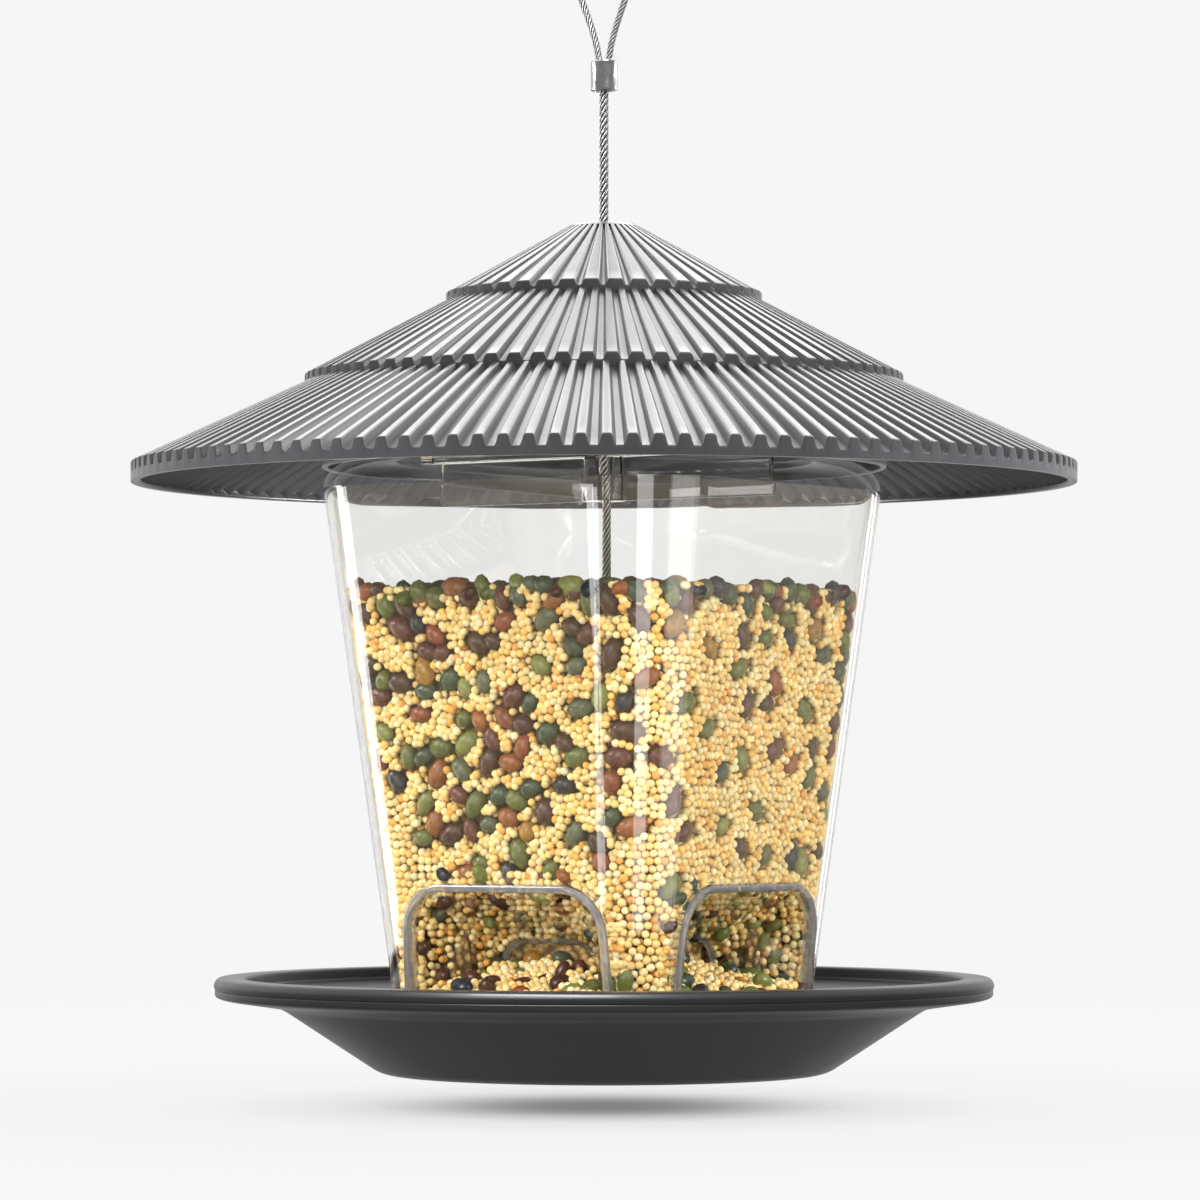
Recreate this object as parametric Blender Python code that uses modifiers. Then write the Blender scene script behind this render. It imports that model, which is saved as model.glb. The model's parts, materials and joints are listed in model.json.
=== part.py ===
"""Hanging seed feeder: corrugated three-tier roof, clear tapered hopper, round dish and steel cable.

Heights are measured up from the dish's underside. The whole feeder hangs below its origin, the top of
the cable's loop, and everything is parented to an empty at the dish's underside.
"""

import math

import bmesh
import bpy
from mathutils import Matrix, Vector

MM = 0.001

# Clearances between pieces that touch
GAP = 0.3 * MM
CABLE_CLEARANCE = 0.45 * MM

# Steel cable, its loop and its fittings
CABLE_RADIUS = 1.15 * MM
LOOP_WIRE_RADIUS = 0.85 * MM
LOOP_TOP_HEIGHT = 286.0 * MM
LOOP_HALF_WIDTH = 10.0 * MM
LOOP_STRAND_OFFSET = 1.35 * MM
FERRULE_BOTTOM = 239.5 * MM
FERRULE_HEIGHT = 7.6 * MM
FERRULE_WIDTH = 6.9 * MM
FERRULE_DEPTH = 4.4 * MM
FERRULE_EDGE = 0.5 * MM
FERRULE_GRIP = 2.0 * MM
STOP_RADIUS = 3.0 * MM
STOP_HEIGHT = 6.6 * MM
STOP_EDGE = 0.4 * MM
WASHER_RADIUS = 6.0 * MM
WASHER_THICKNESS = 1.0 * MM

# Roof tiers, from the crown outwards: radius and height of each lower edge
CROWN_HEIGHT = 207.2 * MM
CROWN_RADIUS = 7.4 * MM
TIER_RADII = (38.5 * MM, 72.9 * MM, 115.0 * MM)
TIER_EDGE_HEIGHTS = (190.3 * MM, 170.5 * MM, 148.9 * MM)
TIER_RIBS = (42, 80, 124)
STEP_DROP = 2.4 * MM
RIB_DEPTHS = (1.0 * MM, 1.3 * MM, 2.0 * MM)
RIB_FLAT_SHARES = (0.62, 0.56, 0.42)
RIB_FLANK_SHARE = 0.14
RIB_START_SHARE = 0.7
RIB_RUN_IN = 1.6 * MM
ROOF_WALL = 1.8 * MM
RIM_BAND = 3.1 * MM
RIM_WIDTH = 2.4 * MM
UNDERSIDE_RIB_DEPTH = 1.4 * MM
EAVES_MARGIN = 1.6 * MM

# Collar and seat inside the roof
COLLAR_RADIUS = 68.8 * MM
COLLAR_WALL = 1.6 * MM
COLLAR_BOTTOM = 147.4 * MM
SEAT_THICKNESS = 1.6 * MM
SEAT_OVERLAP = 4.0 * MM
COLLAR_STEPS = 62
BUSHING_WALL = 1.5 * MM
BUSHING_FLANGE = 2.8 * MM
BUSHING_FLANGE_THICKNESS = 1.4 * MM
BUSHING_TAIL = 3.0 * MM

# Clear hopper: a tapered rounded square that blends into a round mouth
HOPPER_FOOT_HALF = 38.3 * MM
HOPPER_FOOT_CORNER = 11.4 * MM
HOPPER_TOP_HALF = 54.4 * MM
HOPPER_TOP_CORNER = 20.0 * MM
HOPPER_SHOULDER_START = 141.0 * MM
HOPPER_SHOULDER_TOP = 149.8 * MM
HOPPER_WALL = 2.0 * MM
MOUTH_RADIUS = 52.7 * MM
NECK_HEIGHT = 4.0 * MM
CORNER_STEPS = 5
FLAT_STEPS = 6
SHOULDER_STEPS = 4

# Feeding ports and their hoods, one on each face
PORT_WIDTH = 59.0 * MM
PORT_TOP = 46.8 * MM
PORT_BOTTOM = 8.0 * MM
PORT_CORNER = 12.0 * MM
PORT_SPLAY = 0.8 * MM
HOOD_FRAME = 1.9 * MM
HOOD_PROUD = 1.0 * MM
HOOD_WALL = 1.5 * MM
HOOD_DEPTH = 17.0 * MM
OUTLET_WIDTH = 25.8 * MM
OUTLET_TOP = 29.6 * MM
OUTLET_CORNER = 6.0 * MM
ARCH_STEPS = 5

# Bridge across the hopper's mouth
BRIDGE_HEIGHT = 10.2 * MM
BRIDGE_WIDTH = 9.0 * MM
BRIDGE_WALL = 1.6 * MM
BRIDGE_HUB_RADIUS = 5.2 * MM
BRIDGE_TAB_THICKNESS = 2.0 * MM

# Dish
DISH_FLOOR_RADIUS = 56.4 * MM
DISH_EDGE_RADIUS = 58.3 * MM
DISH_EDGE_HEIGHT = 2.8 * MM
DISH_CONE_RADIUS = 77.8 * MM
DISH_CONE_HEIGHT = 16.0 * MM
DISH_RADIUS = 95.0 * MM
DISH_RIM_BOTTOM = 18.4 * MM
DISH_RIM_TOP = 23.6 * MM
DISH_RIM_WIDTH = 7.8 * MM
DISH_RIM_STEP = 2.8 * MM
DISH_WALL = 2.3 * MM
BOSS_RADIUS = 8.4 * MM
BOSS_HEIGHT = 12.4 * MM
CONE_FOOT_RADIUS = 30.0 * MM
SEAT_RIB_HEIGHT = 3.2 * MM
SEAT_RIB_WALL = 1.8 * MM
DRAIN_HOLE_RADIUS = 1.6 * MM
DRAIN_HOLES = 8
DRAIN_CIRCLE_RADIUS = 33.5 * MM
TURN_STEPS = 56
BORE_SIDES = 20
ROPE_BORE_SIDES = 12
FERRULE_SIDES = 24
LOOP_STEPS = 12

# Worked out from the sizes above
FERRULE_TOP = FERRULE_BOTTOM + FERRULE_HEIGHT
CABLE_BORE = CABLE_RADIUS + CABLE_CLEARANCE
DISH_FLOOR = DISH_WALL
HOPPER_FOOT = DISH_FLOOR + GAP
NECK_TOP = HOPPER_SHOULDER_TOP + NECK_HEIGHT
MOUTH_INNER_RADIUS = MOUTH_RADIUS - HOPPER_WALL
SEAT_HEIGHT = NECK_TOP + GAP
BUSHING_RADIUS = CABLE_BORE + BUSHING_WALL
CROWN_BORE = BUSHING_RADIUS + GAP
BOSS_UNDERSIDE = BOSS_HEIGHT - DISH_WALL
WASHER_BOTTOM = BOSS_UNDERSIDE - GAP - WASHER_THICKNESS
STOP_TOP = WASHER_BOTTOM - GAP
STOP_BOTTOM = STOP_TOP - STOP_HEIGHT
WALL_TAPER = math.atan2(HOPPER_TOP_HALF - HOPPER_FOOT_HALF, HOPPER_SHOULDER_START - HOPPER_FOOT)


def material(name, colour, roughness, metallic=0.0, transmission=0.0):
    """A Principled material, clear where transmission is given."""
    made = bpy.data.materials.new(name)
    made.use_nodes = True
    shader = made.node_tree.nodes["Principled BSDF"]
    shader.inputs["Base Color"].default_value = (*colour, 1.0)
    shader.inputs["Roughness"].default_value = roughness
    shader.inputs["Metallic"].default_value = metallic
    shader.inputs["Transmission Weight"].default_value = transmission
    return made


class Feeder:
    """The collections, the empty that carries every piece, and the ways to add a piece."""

    def __init__(self):
        """Make the two collections and the empty at the dish's underside."""
        for old in list(bpy.data.objects):
            bpy.data.objects.remove(old)
        self.parts = bpy.data.collections.new("seed_feeder")
        self.cutters = bpy.data.collections.new("cutters")
        for collection in (self.parts, self.cutters):
            bpy.context.scene.collection.children.link(collection)
        self.base = bpy.data.objects.new("dish_underside", None)
        self.base.location.z = -LOOP_TOP_HEIGHT
        self.parts.objects.link(self.base)

    def add(self, name, data, finish, smooth_below=math.radians(35)):
        """Add a piece to the model, parented to the empty, and return its object."""
        piece = bpy.data.objects.new(name, data)
        data.materials.clear()
        data.materials.append(finish)
        piece.parent = self.base
        self.parts.objects.link(piece)
        if isinstance(data, bpy.types.Mesh):
            data.shade_smooth()
            data.set_sharp_from_angle(angle=smooth_below)
        return piece

    def helper(self, name, data):
        """Add a hidden shape that cuts or joins, parented like the pieces."""
        shape = bpy.data.objects.new(name, data)
        shape.parent = self.base
        shape.hide_render = True
        shape.display_type = "WIRE"
        self.cutters.objects.link(shape)
        return shape


def boolean(piece, other, operation):
    """Cut, join or intersect a piece with a helper by an exact Boolean."""
    modifier = piece.modifiers.new(f"{operation.lower()}_{other.name}", "BOOLEAN")
    modifier.operation = operation
    modifier.object = other
    modifier.solver = "EXACT"


def mesh_from_rings(name, rings, closed_rings=True):
    """A closed surface through equal rings of points, the last ring joined to the first.

    Where closed_rings is False, the first and the last ring are capped instead.
    """
    count = len(rings[0])
    bm = bmesh.new()
    rows = [[bm.verts.new(point) for point in ring] for ring in rings]
    pairs = list(zip(rows, rows[1:]))
    if closed_rings:
        pairs.append((rows[-1], rows[0]))
    else:
        bm.faces.new(rows[0])
        bm.faces.new(reversed(rows[-1]))
    for lower, upper in pairs:
        for i in range(count):
            k = (i + 1) % count
            bm.faces.new((lower[i], lower[k], upper[k], upper[i]))
    bmesh.ops.recalc_face_normals(bm, faces=bm.faces)
    mesh = bpy.data.meshes.new(name)
    bm.to_mesh(mesh)
    bm.free()
    return mesh


def turned(name, profile, steps=TURN_STEPS):
    """A closed profile of (radius, height) points turned round the vertical axis."""
    angles = [math.tau * i / steps for i in range(steps)]
    rings = [
        [(radius * math.cos(a), radius * math.sin(a), height) for a in angles] for radius, height in profile
    ]
    return mesh_from_rings(name, rings)


def cylinder(name, radius, bottom, top, sides=BORE_SIDES):
    """A closed upright cylinder."""
    bm = bmesh.new()
    bmesh.ops.create_cone(
        bm, cap_ends=True, segments=sides, radius1=radius, radius2=radius, depth=top - bottom
    )
    bmesh.ops.translate(bm, verts=bm.verts, vec=(0, 0, (top + bottom) / 2))
    mesh = bpy.data.meshes.new(name)
    bm.to_mesh(mesh)
    bm.free()
    return mesh


def box(name, low, high):
    """A closed box between two opposite corners."""
    bm = bmesh.new()
    bmesh.ops.create_cube(bm, size=1.0)
    size = Vector(high) - Vector(low)
    middle = (Vector(high) + Vector(low)) / 2
    bmesh.ops.transform(bm, matrix=Matrix.Translation(middle) @ Matrix.Diagonal((*size, 1)), verts=bm.verts)
    mesh = bpy.data.meshes.new(name)
    bm.to_mesh(mesh)
    bm.free()
    return mesh


def prism(name, outline, low, high):
    """An outline of (x, z) points run along Y between two places."""
    near = [(x, low, z) for x, z in outline]
    far = [(x, high, z) for x, z in outline]
    return mesh_from_rings(name, [near, far], closed_rings=False)


def arch(width, bottom, top, corner, splay=0.0):
    """Outline of a port: legs that may splay, a flat top and two rounded upper corners, as (x, z) points."""
    half = width / 2
    angles = [math.radians(90 * i / ARCH_STEPS) for i in range(ARCH_STEPS + 1)]
    right = [(half - corner * (1 - math.cos(a)), top - corner * (1 - math.sin(a))) for a in angles]
    left = [(-x, z) for x, z in reversed(right)]
    return [(half + splay, bottom), *right, *left, (-half - splay, bottom)]


def rounded_square(half, corner, height):
    """Points round a square with rounded corners: one quarter is a corner's arc and the flat after it."""
    quarter = []
    straight = half - corner
    for i in range(CORNER_STEPS + 1):
        angle = math.radians(90 * i / CORNER_STEPS)
        quarter.append((straight + corner * math.cos(angle), straight + corner * math.sin(angle)))
    for i in range(1, FLAT_STEPS):
        quarter.append((straight - 2 * straight * i / FLAT_STEPS, half))
    points = []
    for x, y in quarter:
        points.append((x, y, height))
    for x, y in quarter:
        points.append((-y, x, height))
    for x, y in quarter:
        points.append((-x, -y, height))
    for x, y in quarter:
        points.append((y, -x, height))
    return points


def plain_wave(count):
    """Evenly spaced angles with no ribs, as (angle, level) pairs."""
    return [(math.tau * i / count, 1.0) for i in range(count)]


def rib_wave(ribs, flat_share):
    """Corners of each rib round the roof, as (angle, level) pairs: 1 on its flat and 0 in the groove."""
    half_flat = flat_share / 2
    corners = (
        (-half_flat, 1.0),
        (half_flat, 1.0),
        (half_flat + RIB_FLANK_SHARE, 0.0),
        (1 - half_flat - RIB_FLANK_SHARE, 0.0),
    )
    return [(math.tau * (i + share) / ribs, level) for i in range(ribs) for share, level in corners]


def zigzag_wave(ribs):
    """Top and bottom of each rib of the underside, as (angle, level) pairs."""
    levels = ((0, 1.0), (0.5, 0.0))
    return [(math.tau * (i + share) / ribs, level) for i in range(ribs) for share, level in levels]


def wave_ring(radius, height, wave, depth=0.0):
    """Points of one ring of the roof, each lowered by the rib depth where its level is below 1."""
    return [(radius * math.cos(a), radius * math.sin(a), height - depth * (1 - level)) for a, level in wave]


def stitch(bm, upper, lower):
    """Triangles between two rings of vertices that may have unlike counts, matched by their order."""
    i = k = 0
    while i < len(upper) or k < len(lower):
        a, b = upper[i % len(upper)], lower[k % len(lower)]
        if i < len(upper) and i * len(lower) <= k * len(upper):
            bm.faces.new((a, upper[(i + 1) % len(upper)], b))
            i += 1
        else:
            bm.faces.new((a, lower[(k + 1) % len(lower)], b))
            k += 1


def roof_upper_rings():
    """Rings of the roof's outside, from the crown's bore out to the rim: three tiers and their steps."""
    crown = plain_wave(TIER_RIBS[0])
    rings = [wave_ring(CROWN_BORE, CROWN_HEIGHT, crown), wave_ring(CROWN_RADIUS, CROWN_HEIGHT, crown)]
    start_radius, start_height = CROWN_RADIUS, CROWN_HEIGHT
    for tier, edge_radius in enumerate(TIER_RADII):
        wave = rib_wave(TIER_RIBS[tier], RIB_FLAT_SHARES[tier])
        edge_height = TIER_EDGE_HEIGHTS[tier]
        if tier == 0:
            fall = (start_height - edge_height) / (edge_radius - start_radius)
            start_radius += RIB_RUN_IN
            start_height -= fall * RIB_RUN_IN
        rings.append(wave_ring(start_radius, start_height, wave, RIB_DEPTHS[tier] * RIB_START_SHARE))
        rings.append(wave_ring(edge_radius, edge_height, wave, RIB_DEPTHS[tier]))
        start_radius, start_height = edge_radius, edge_height - STEP_DROP
    return rings


def roof_lower_rings():
    """Rings of the roof's inside, from the rim in to the bore: ribbed eaves, collar, seat and smooth cone."""
    ribs = TIER_RIBS[2]
    rim_bottom = TIER_EDGE_HEIGHTS[2] - RIB_DEPTHS[2] - RIM_BAND
    fall = (TIER_EDGE_HEIGHTS[1] - STEP_DROP - TIER_EDGE_HEIGHTS[2]) / (TIER_RADII[2] - TIER_RADII[1])
    inside_drop = RIB_DEPTHS[2] + ROOF_WALL
    eaves_outer = TIER_RADII[2] - RIM_WIDTH
    eaves_inner = COLLAR_RADIUS + EAVES_MARGIN

    def under(radius):
        """Height of the eaves' underside at a radius."""
        return TIER_EDGE_HEIGHTS[2] + fall * (TIER_RADII[2] - radius) - inside_drop

    collar_inner = COLLAR_RADIUS - COLLAR_WALL
    seat_inner = MOUTH_RADIUS - SEAT_OVERLAP
    seat_top = SEAT_HEIGHT + SEAT_THICKNESS
    tier_inner = TIER_RADII[0] - ROOF_WALL
    tier_height = TIER_EDGE_HEIGHTS[0] - STEP_DROP - RIB_DEPTHS[1] - ROOF_WALL
    crown_height = CROWN_HEIGHT - ROOF_WALL
    plain = plain_wave(COLLAR_STEPS)
    inner = plain_wave(TIER_RIBS[0])
    zigzag = zigzag_wave(ribs)
    return [
        wave_ring(TIER_RADII[2], rim_bottom, plain_wave(ribs)),
        wave_ring(eaves_outer, rim_bottom, plain_wave(ribs)),
        wave_ring(eaves_outer, under(eaves_outer), zigzag, UNDERSIDE_RIB_DEPTH),
        wave_ring(eaves_inner, under(eaves_inner), zigzag, UNDERSIDE_RIB_DEPTH),
        wave_ring(COLLAR_RADIUS, under(COLLAR_RADIUS), plain),
        wave_ring(COLLAR_RADIUS, COLLAR_BOTTOM, plain),
        wave_ring(collar_inner, COLLAR_BOTTOM, plain),
        wave_ring(collar_inner, SEAT_HEIGHT, plain),
        wave_ring(seat_inner, SEAT_HEIGHT, plain),
        wave_ring(seat_inner, seat_top, plain),
        wave_ring(collar_inner, seat_top, plain),
        wave_ring(collar_inner, under(collar_inner), plain),
        wave_ring(tier_inner, tier_height, inner),
        wave_ring(CROWN_RADIUS, crown_height, inner),
        wave_ring(CROWN_BORE, crown_height, inner),
    ]


def roof(feeder, finish):
    """One shell turned from rings: ribbed tiers above, ribbed eaves, collar and seat ring below."""
    bm = bmesh.new()
    rings = [[bm.verts.new(point) for point in ring] for ring in roof_upper_rings() + roof_lower_rings()]
    for upper, lower in zip(rings, rings[1:] + rings[:1]):
        stitch(bm, upper, lower)
    bmesh.ops.recalc_face_normals(bm, faces=bm.faces)
    mesh = bpy.data.meshes.new("roof")
    bm.to_mesh(mesh)
    bm.free()
    return feeder.add("roof", mesh, finish, smooth_below=math.radians(20))


def roof_bushing(feeder, finish):
    """Flanged bushing in the crown, which slides along the cable and on which the roof turns."""
    flange_top = CROWN_HEIGHT - ROOF_WALL - GAP
    flange_bottom = flange_top - BUSHING_FLANGE_THICKNESS
    tail_bottom = flange_bottom - BUSHING_TAIL
    profile = [
        (BUSHING_RADIUS, CROWN_HEIGHT - GAP),
        (BUSHING_RADIUS, flange_top),
        (BUSHING_RADIUS + BUSHING_FLANGE, flange_top),
        (BUSHING_RADIUS + BUSHING_FLANGE, flange_bottom),
        (BUSHING_RADIUS, flange_bottom),
        (BUSHING_RADIUS, tail_bottom),
        (CABLE_BORE, tail_bottom),
        (CABLE_BORE, CROWN_HEIGHT - GAP),
    ]
    return feeder.add("roof_bushing", turned("roof_bushing", profile, BORE_SIDES), finish)


def hopper_rings(inset):
    """Rings of the hopper's outer surface, or of the surface that lies inset behind it."""
    foot = rounded_square(HOPPER_FOOT_HALF - inset, HOPPER_FOOT_CORNER - inset, HOPPER_FOOT)
    shoulder = rounded_square(HOPPER_TOP_HALF - inset, HOPPER_TOP_CORNER - inset, HOPPER_SHOULDER_START)
    radius = MOUTH_RADIUS - inset
    rings = [foot, shoulder]
    for step in range(1, SHOULDER_STEPS + 1):
        angle = math.radians(90 * step / SHOULDER_STEPS)
        blend = 1 - math.cos(angle)
        rise = HOPPER_SHOULDER_TOP - inset - HOPPER_SHOULDER_START
        height = HOPPER_SHOULDER_START + rise * math.sin(angle)
        ring = []
        for x, y, _ in shoulder:
            reach = math.hypot(x, y)
            scale = (reach + (radius - reach) * blend) / reach
            ring.append((x * scale, y * scale, height))
        rings.append(ring)
    rings.append([(x, y, NECK_TOP) for x, y, _ in rings[-1]])
    return rings


def face_turn(face):
    """The rotation that carries the face towards -Y onto one of the four faces."""
    return Matrix.Rotation(math.radians(90 * face), 4, "Z")


def on_wall(mesh):
    """Tilt a shape modelled upright at Y = 0 onto the wall facing -Y, which leans outwards going up."""
    mid_height = (PORT_TOP + PORT_BOTTOM) / 2
    wall_y = HOPPER_FOOT_HALF + (mid_height - HOPPER_FOOT) * math.tan(WALL_TAPER)
    lean = Matrix.Rotation(WALL_TAPER, 4, "X")
    mesh.transform(
        Matrix.Translation((0, -wall_y, mid_height)) @ lean @ Matrix.Translation((0, 0, -mid_height))
    )
    return mesh


def hopper(feeder, finish):
    """Clear tapered hopper with an arched port in each face, a round neck and two notches for the bridge."""
    outer = hopper_rings(0.0)
    inner = hopper_rings(HOPPER_WALL)
    piece = feeder.add("hopper", mesh_from_rings("hopper", outer + inner[::-1]), finish)
    for face in range(4):
        outline = arch(
            PORT_WIDTH + 2 * GAP, PORT_BOTTOM - GAP, PORT_TOP + GAP, PORT_CORNER + GAP, PORT_SPLAY
        )
        cut = on_wall(prism(f"port_cut_{face + 1}", outline, -3 * HOPPER_WALL, 3 * HOPPER_WALL))
        cut.transform(face_turn(face))
        boolean(piece, feeder.helper(f"port_cut_{face + 1}", cut), "DIFFERENCE")
    notch_half = BRIDGE_WIDTH / 2 + GAP
    reach = MOUTH_RADIUS + HOPPER_WALL
    notch = box(
        "bridge_notch",
        (-reach, -notch_half, HOPPER_SHOULDER_TOP),
        (reach, notch_half, NECK_TOP + HOPPER_WALL),
    )
    boolean(piece, feeder.helper("bridge_notch", notch), "DIFFERENCE")
    return piece


def hood_section(depth, width, top, corner, splay, wall):
    """One upside-down U across a hood at a depth behind the wall: its outer arch, then its inner arch."""
    outer = arch(width, PORT_BOTTOM, top, corner, splay)
    inner = arch(width - 2 * wall, PORT_BOTTOM, top - wall, corner - wall, splay)
    return [(x, depth, z) for x, z in outer + inner[::-1]]


def port_hoods(feeder, finish):
    """Four alike hoods: a frame in the port and a niche that narrows inwards to a small arched outlet."""
    frame = (PORT_WIDTH, PORT_TOP, PORT_CORNER, PORT_SPLAY, HOOD_FRAME)
    outlet_width = OUTLET_WIDTH + 2 * HOOD_WALL
    outlet = (outlet_width, OUTLET_TOP + HOOD_WALL, OUTLET_CORNER + HOOD_WALL, 0.0, HOOD_WALL)
    sections = [
        hood_section(-HOOD_PROUD, *frame),
        hood_section(HOPPER_WALL, *frame),
        hood_section(HOPPER_WALL + HOOD_DEPTH, *outlet),
    ]
    made = on_wall(mesh_from_rings("port_hood", sections, closed_rings=False))
    for face, name in enumerate(("front", "right", "back", "left")):
        copy = made.copy()
        copy.transform(face_turn(face))
        feeder.add(f"port_hood_{name}", copy, finish)


def hopper_bridge(feeder, finish):
    """Clear bar across the mouth that keeps the cable in the middle, with a tab in each notch of the neck."""
    top = HOPPER_SHOULDER_TOP + GAP + BRIDGE_TAB_THICKNESS
    bottom = HOPPER_SHOULDER_TOP - BRIDGE_HEIGHT
    half_width = BRIDGE_WIDTH / 2
    half_length = MOUTH_INNER_RADIUS - GAP - BRIDGE_WALL
    web = BRIDGE_WALL / 2
    tab_reach = MOUTH_RADIUS
    piece = feeder.add(
        "hopper_bridge",
        box(
            "hopper_bridge",
            (-tab_reach, -half_width, top - BRIDGE_TAB_THICKNESS),
            (tab_reach, half_width, top),
        ),
        finish,
    )
    webs = feeder.helper(
        "bridge_web", box("bridge_web", (-half_length, -web, bottom), (half_length, web, top - web))
    )
    hub = feeder.helper("bridge_hub", cylinder("bridge_hub", BRIDGE_HUB_RADIUS, bottom, top - web))
    bore = feeder.helper(
        "bridge_bore", cylinder("bridge_bore", CABLE_BORE, bottom - BRIDGE_WALL, top + BRIDGE_WALL)
    )
    boolean(piece, webs, "UNION")
    boolean(piece, hub, "UNION")
    boolean(piece, bore, "DIFFERENCE")
    return piece


def dish(feeder, finish):
    """Round dish: conical wall, wide rim, raised centre over the cable's stop, seat and drain holes."""
    taper = (DISH_CONE_RADIUS - DISH_EDGE_RADIUS) / (DISH_CONE_HEIGHT - DISH_EDGE_HEIGHT)
    wall_shift = DISH_WALL * math.sqrt(1 + taper * taper) - DISH_WALL * taper
    rim_inner = DISH_RADIUS - DISH_RIM_WIDTH
    step_bottom = DISH_RIM_TOP - DISH_RIM_STEP
    edge = (DISH_RIM_TOP - DISH_RIM_BOTTOM) * 0.28
    inner_cone_radius = DISH_CONE_RADIUS - wall_shift
    cone_slope = (BOSS_HEIGHT - DISH_FLOOR) / (CONE_FOOT_RADIUS - BOSS_RADIUS)
    profile = [
        (CABLE_BORE, BOSS_HEIGHT),
        (BOSS_RADIUS, BOSS_HEIGHT),
        (CONE_FOOT_RADIUS, DISH_FLOOR),
        (DISH_EDGE_RADIUS - wall_shift - DISH_EDGE_HEIGHT * 0.2, DISH_FLOOR),
        (DISH_EDGE_RADIUS - wall_shift + DISH_WALL * taper * 0.6, DISH_FLOOR + DISH_EDGE_HEIGHT * 0.6),
        (inner_cone_radius, DISH_CONE_HEIGHT + DISH_WALL),
        (rim_inner, step_bottom),
        (rim_inner, DISH_RIM_TOP - edge * 0.4),
        (rim_inner + edge * 0.6, DISH_RIM_TOP),
        (DISH_RADIUS - edge * 1.4, DISH_RIM_TOP),
        (DISH_RADIUS - edge * 0.4, DISH_RIM_TOP - edge * 0.6),
        (DISH_RADIUS, DISH_RIM_TOP - edge * 1.7),
        (DISH_RADIUS - edge * 0.3, DISH_RIM_BOTTOM + edge * 0.7),
        (DISH_RADIUS - edge * 1.4, DISH_RIM_BOTTOM),
        (DISH_CONE_RADIUS, DISH_CONE_HEIGHT),
        (DISH_EDGE_RADIUS, DISH_EDGE_HEIGHT),
        (DISH_EDGE_RADIUS - DISH_EDGE_HEIGHT * 0.25, DISH_EDGE_HEIGHT * 0.25),
        (DISH_FLOOR_RADIUS, 0.0),
        (CONE_FOOT_RADIUS - DISH_WALL / cone_slope * 0.4, 0.0),
        (BOSS_RADIUS - DISH_WALL * 0.4, BOSS_UNDERSIDE),
        (CABLE_BORE, BOSS_UNDERSIDE),
    ]
    piece = feeder.add("dish", turned("dish", profile), finish)
    seat_bottom = DISH_FLOOR - DISH_WALL / 2
    seat_top = DISH_FLOOR + SEAT_RIB_HEIGHT
    lean = math.tan(WALL_TAPER)
    inner_half = HOPPER_FOOT_HALF + GAP
    inner_corner = HOPPER_FOOT_CORNER + GAP
    rings = []
    inner_side = ((seat_bottom, 0.0), (seat_top, 0.0))
    outer_side = ((seat_top, SEAT_RIB_WALL), (seat_bottom, SEAT_RIB_WALL))
    for height, extra in inner_side + outer_side:
        grow = lean * (max(height, DISH_FLOOR) - DISH_FLOOR) + extra
        rings.append(rounded_square(inner_half + grow, inner_corner + grow, height))
    rib = feeder.helper("seat_rib", mesh_from_rings("seat_rib", rings))
    boolean(piece, rib, "UNION")
    for hole in range(DRAIN_HOLES):
        angle = math.radians(45 / 2) + math.tau * hole / DRAIN_HOLES
        drain = cylinder(f"drain_{hole + 1}", DRAIN_HOLE_RADIUS, -DISH_WALL, 2 * DISH_WALL, 10)
        drain.transform(
            Matrix.Translation(Vector((math.cos(angle), math.sin(angle), 0)) * DRAIN_CIRCLE_RADIUS)
        )
        boolean(piece, feeder.helper(f"drain_{hole + 1}", drain), "DIFFERENCE")
    return piece


def wire(name, points, radius):
    """A round wire along a list of points, closed at both ends."""
    curve = bpy.data.curves.new(name, "CURVE")
    curve.dimensions = "3D"
    curve.bevel_depth = radius
    curve.bevel_resolution = 2
    curve.use_fill_caps = True
    spline = curve.splines.new("POLY")
    spline.points.add(len(points) - 1)
    for target, point in zip(spline.points, points):
        target.co = (*point, 1.0)
    return curve


def cable_points():
    """The straight cable from its stop below the dish's centre up into the ferrule."""
    low = STOP_BOTTOM
    high = FERRULE_BOTTOM + FERRULE_GRIP
    count = 41
    return [(0.0, 0.0, low + (high - low) * i / (count - 1)) for i in range(count)]


def loop_points():
    """The loop above the ferrule: two strands that part, and a round top."""
    centre = LOOP_TOP_HEIGHT - LOOP_WIRE_RADIUS - LOOP_HALF_WIDTH
    low = FERRULE_TOP - FERRULE_GRIP
    side = []
    for i in range(LOOP_STEPS + 1):
        t = i / LOOP_STEPS
        ease = t * t * (3 - 2 * t)
        spread = (LOOP_HALF_WIDTH - LOOP_STRAND_OFFSET) * ease
        side.append((LOOP_STRAND_OFFSET + spread, low + (centre - low) * t))
    turns = [math.pi * i / LOOP_STEPS for i in range(1, LOOP_STEPS)]
    radius = LOOP_HALF_WIDTH
    top = [(radius * math.cos(turn), centre + radius * math.sin(turn)) for turn in turns]
    other = [(-x, z) for x, z in reversed(side)]
    return [(x, 0.0, z) for x, z in side + top + other]


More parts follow.
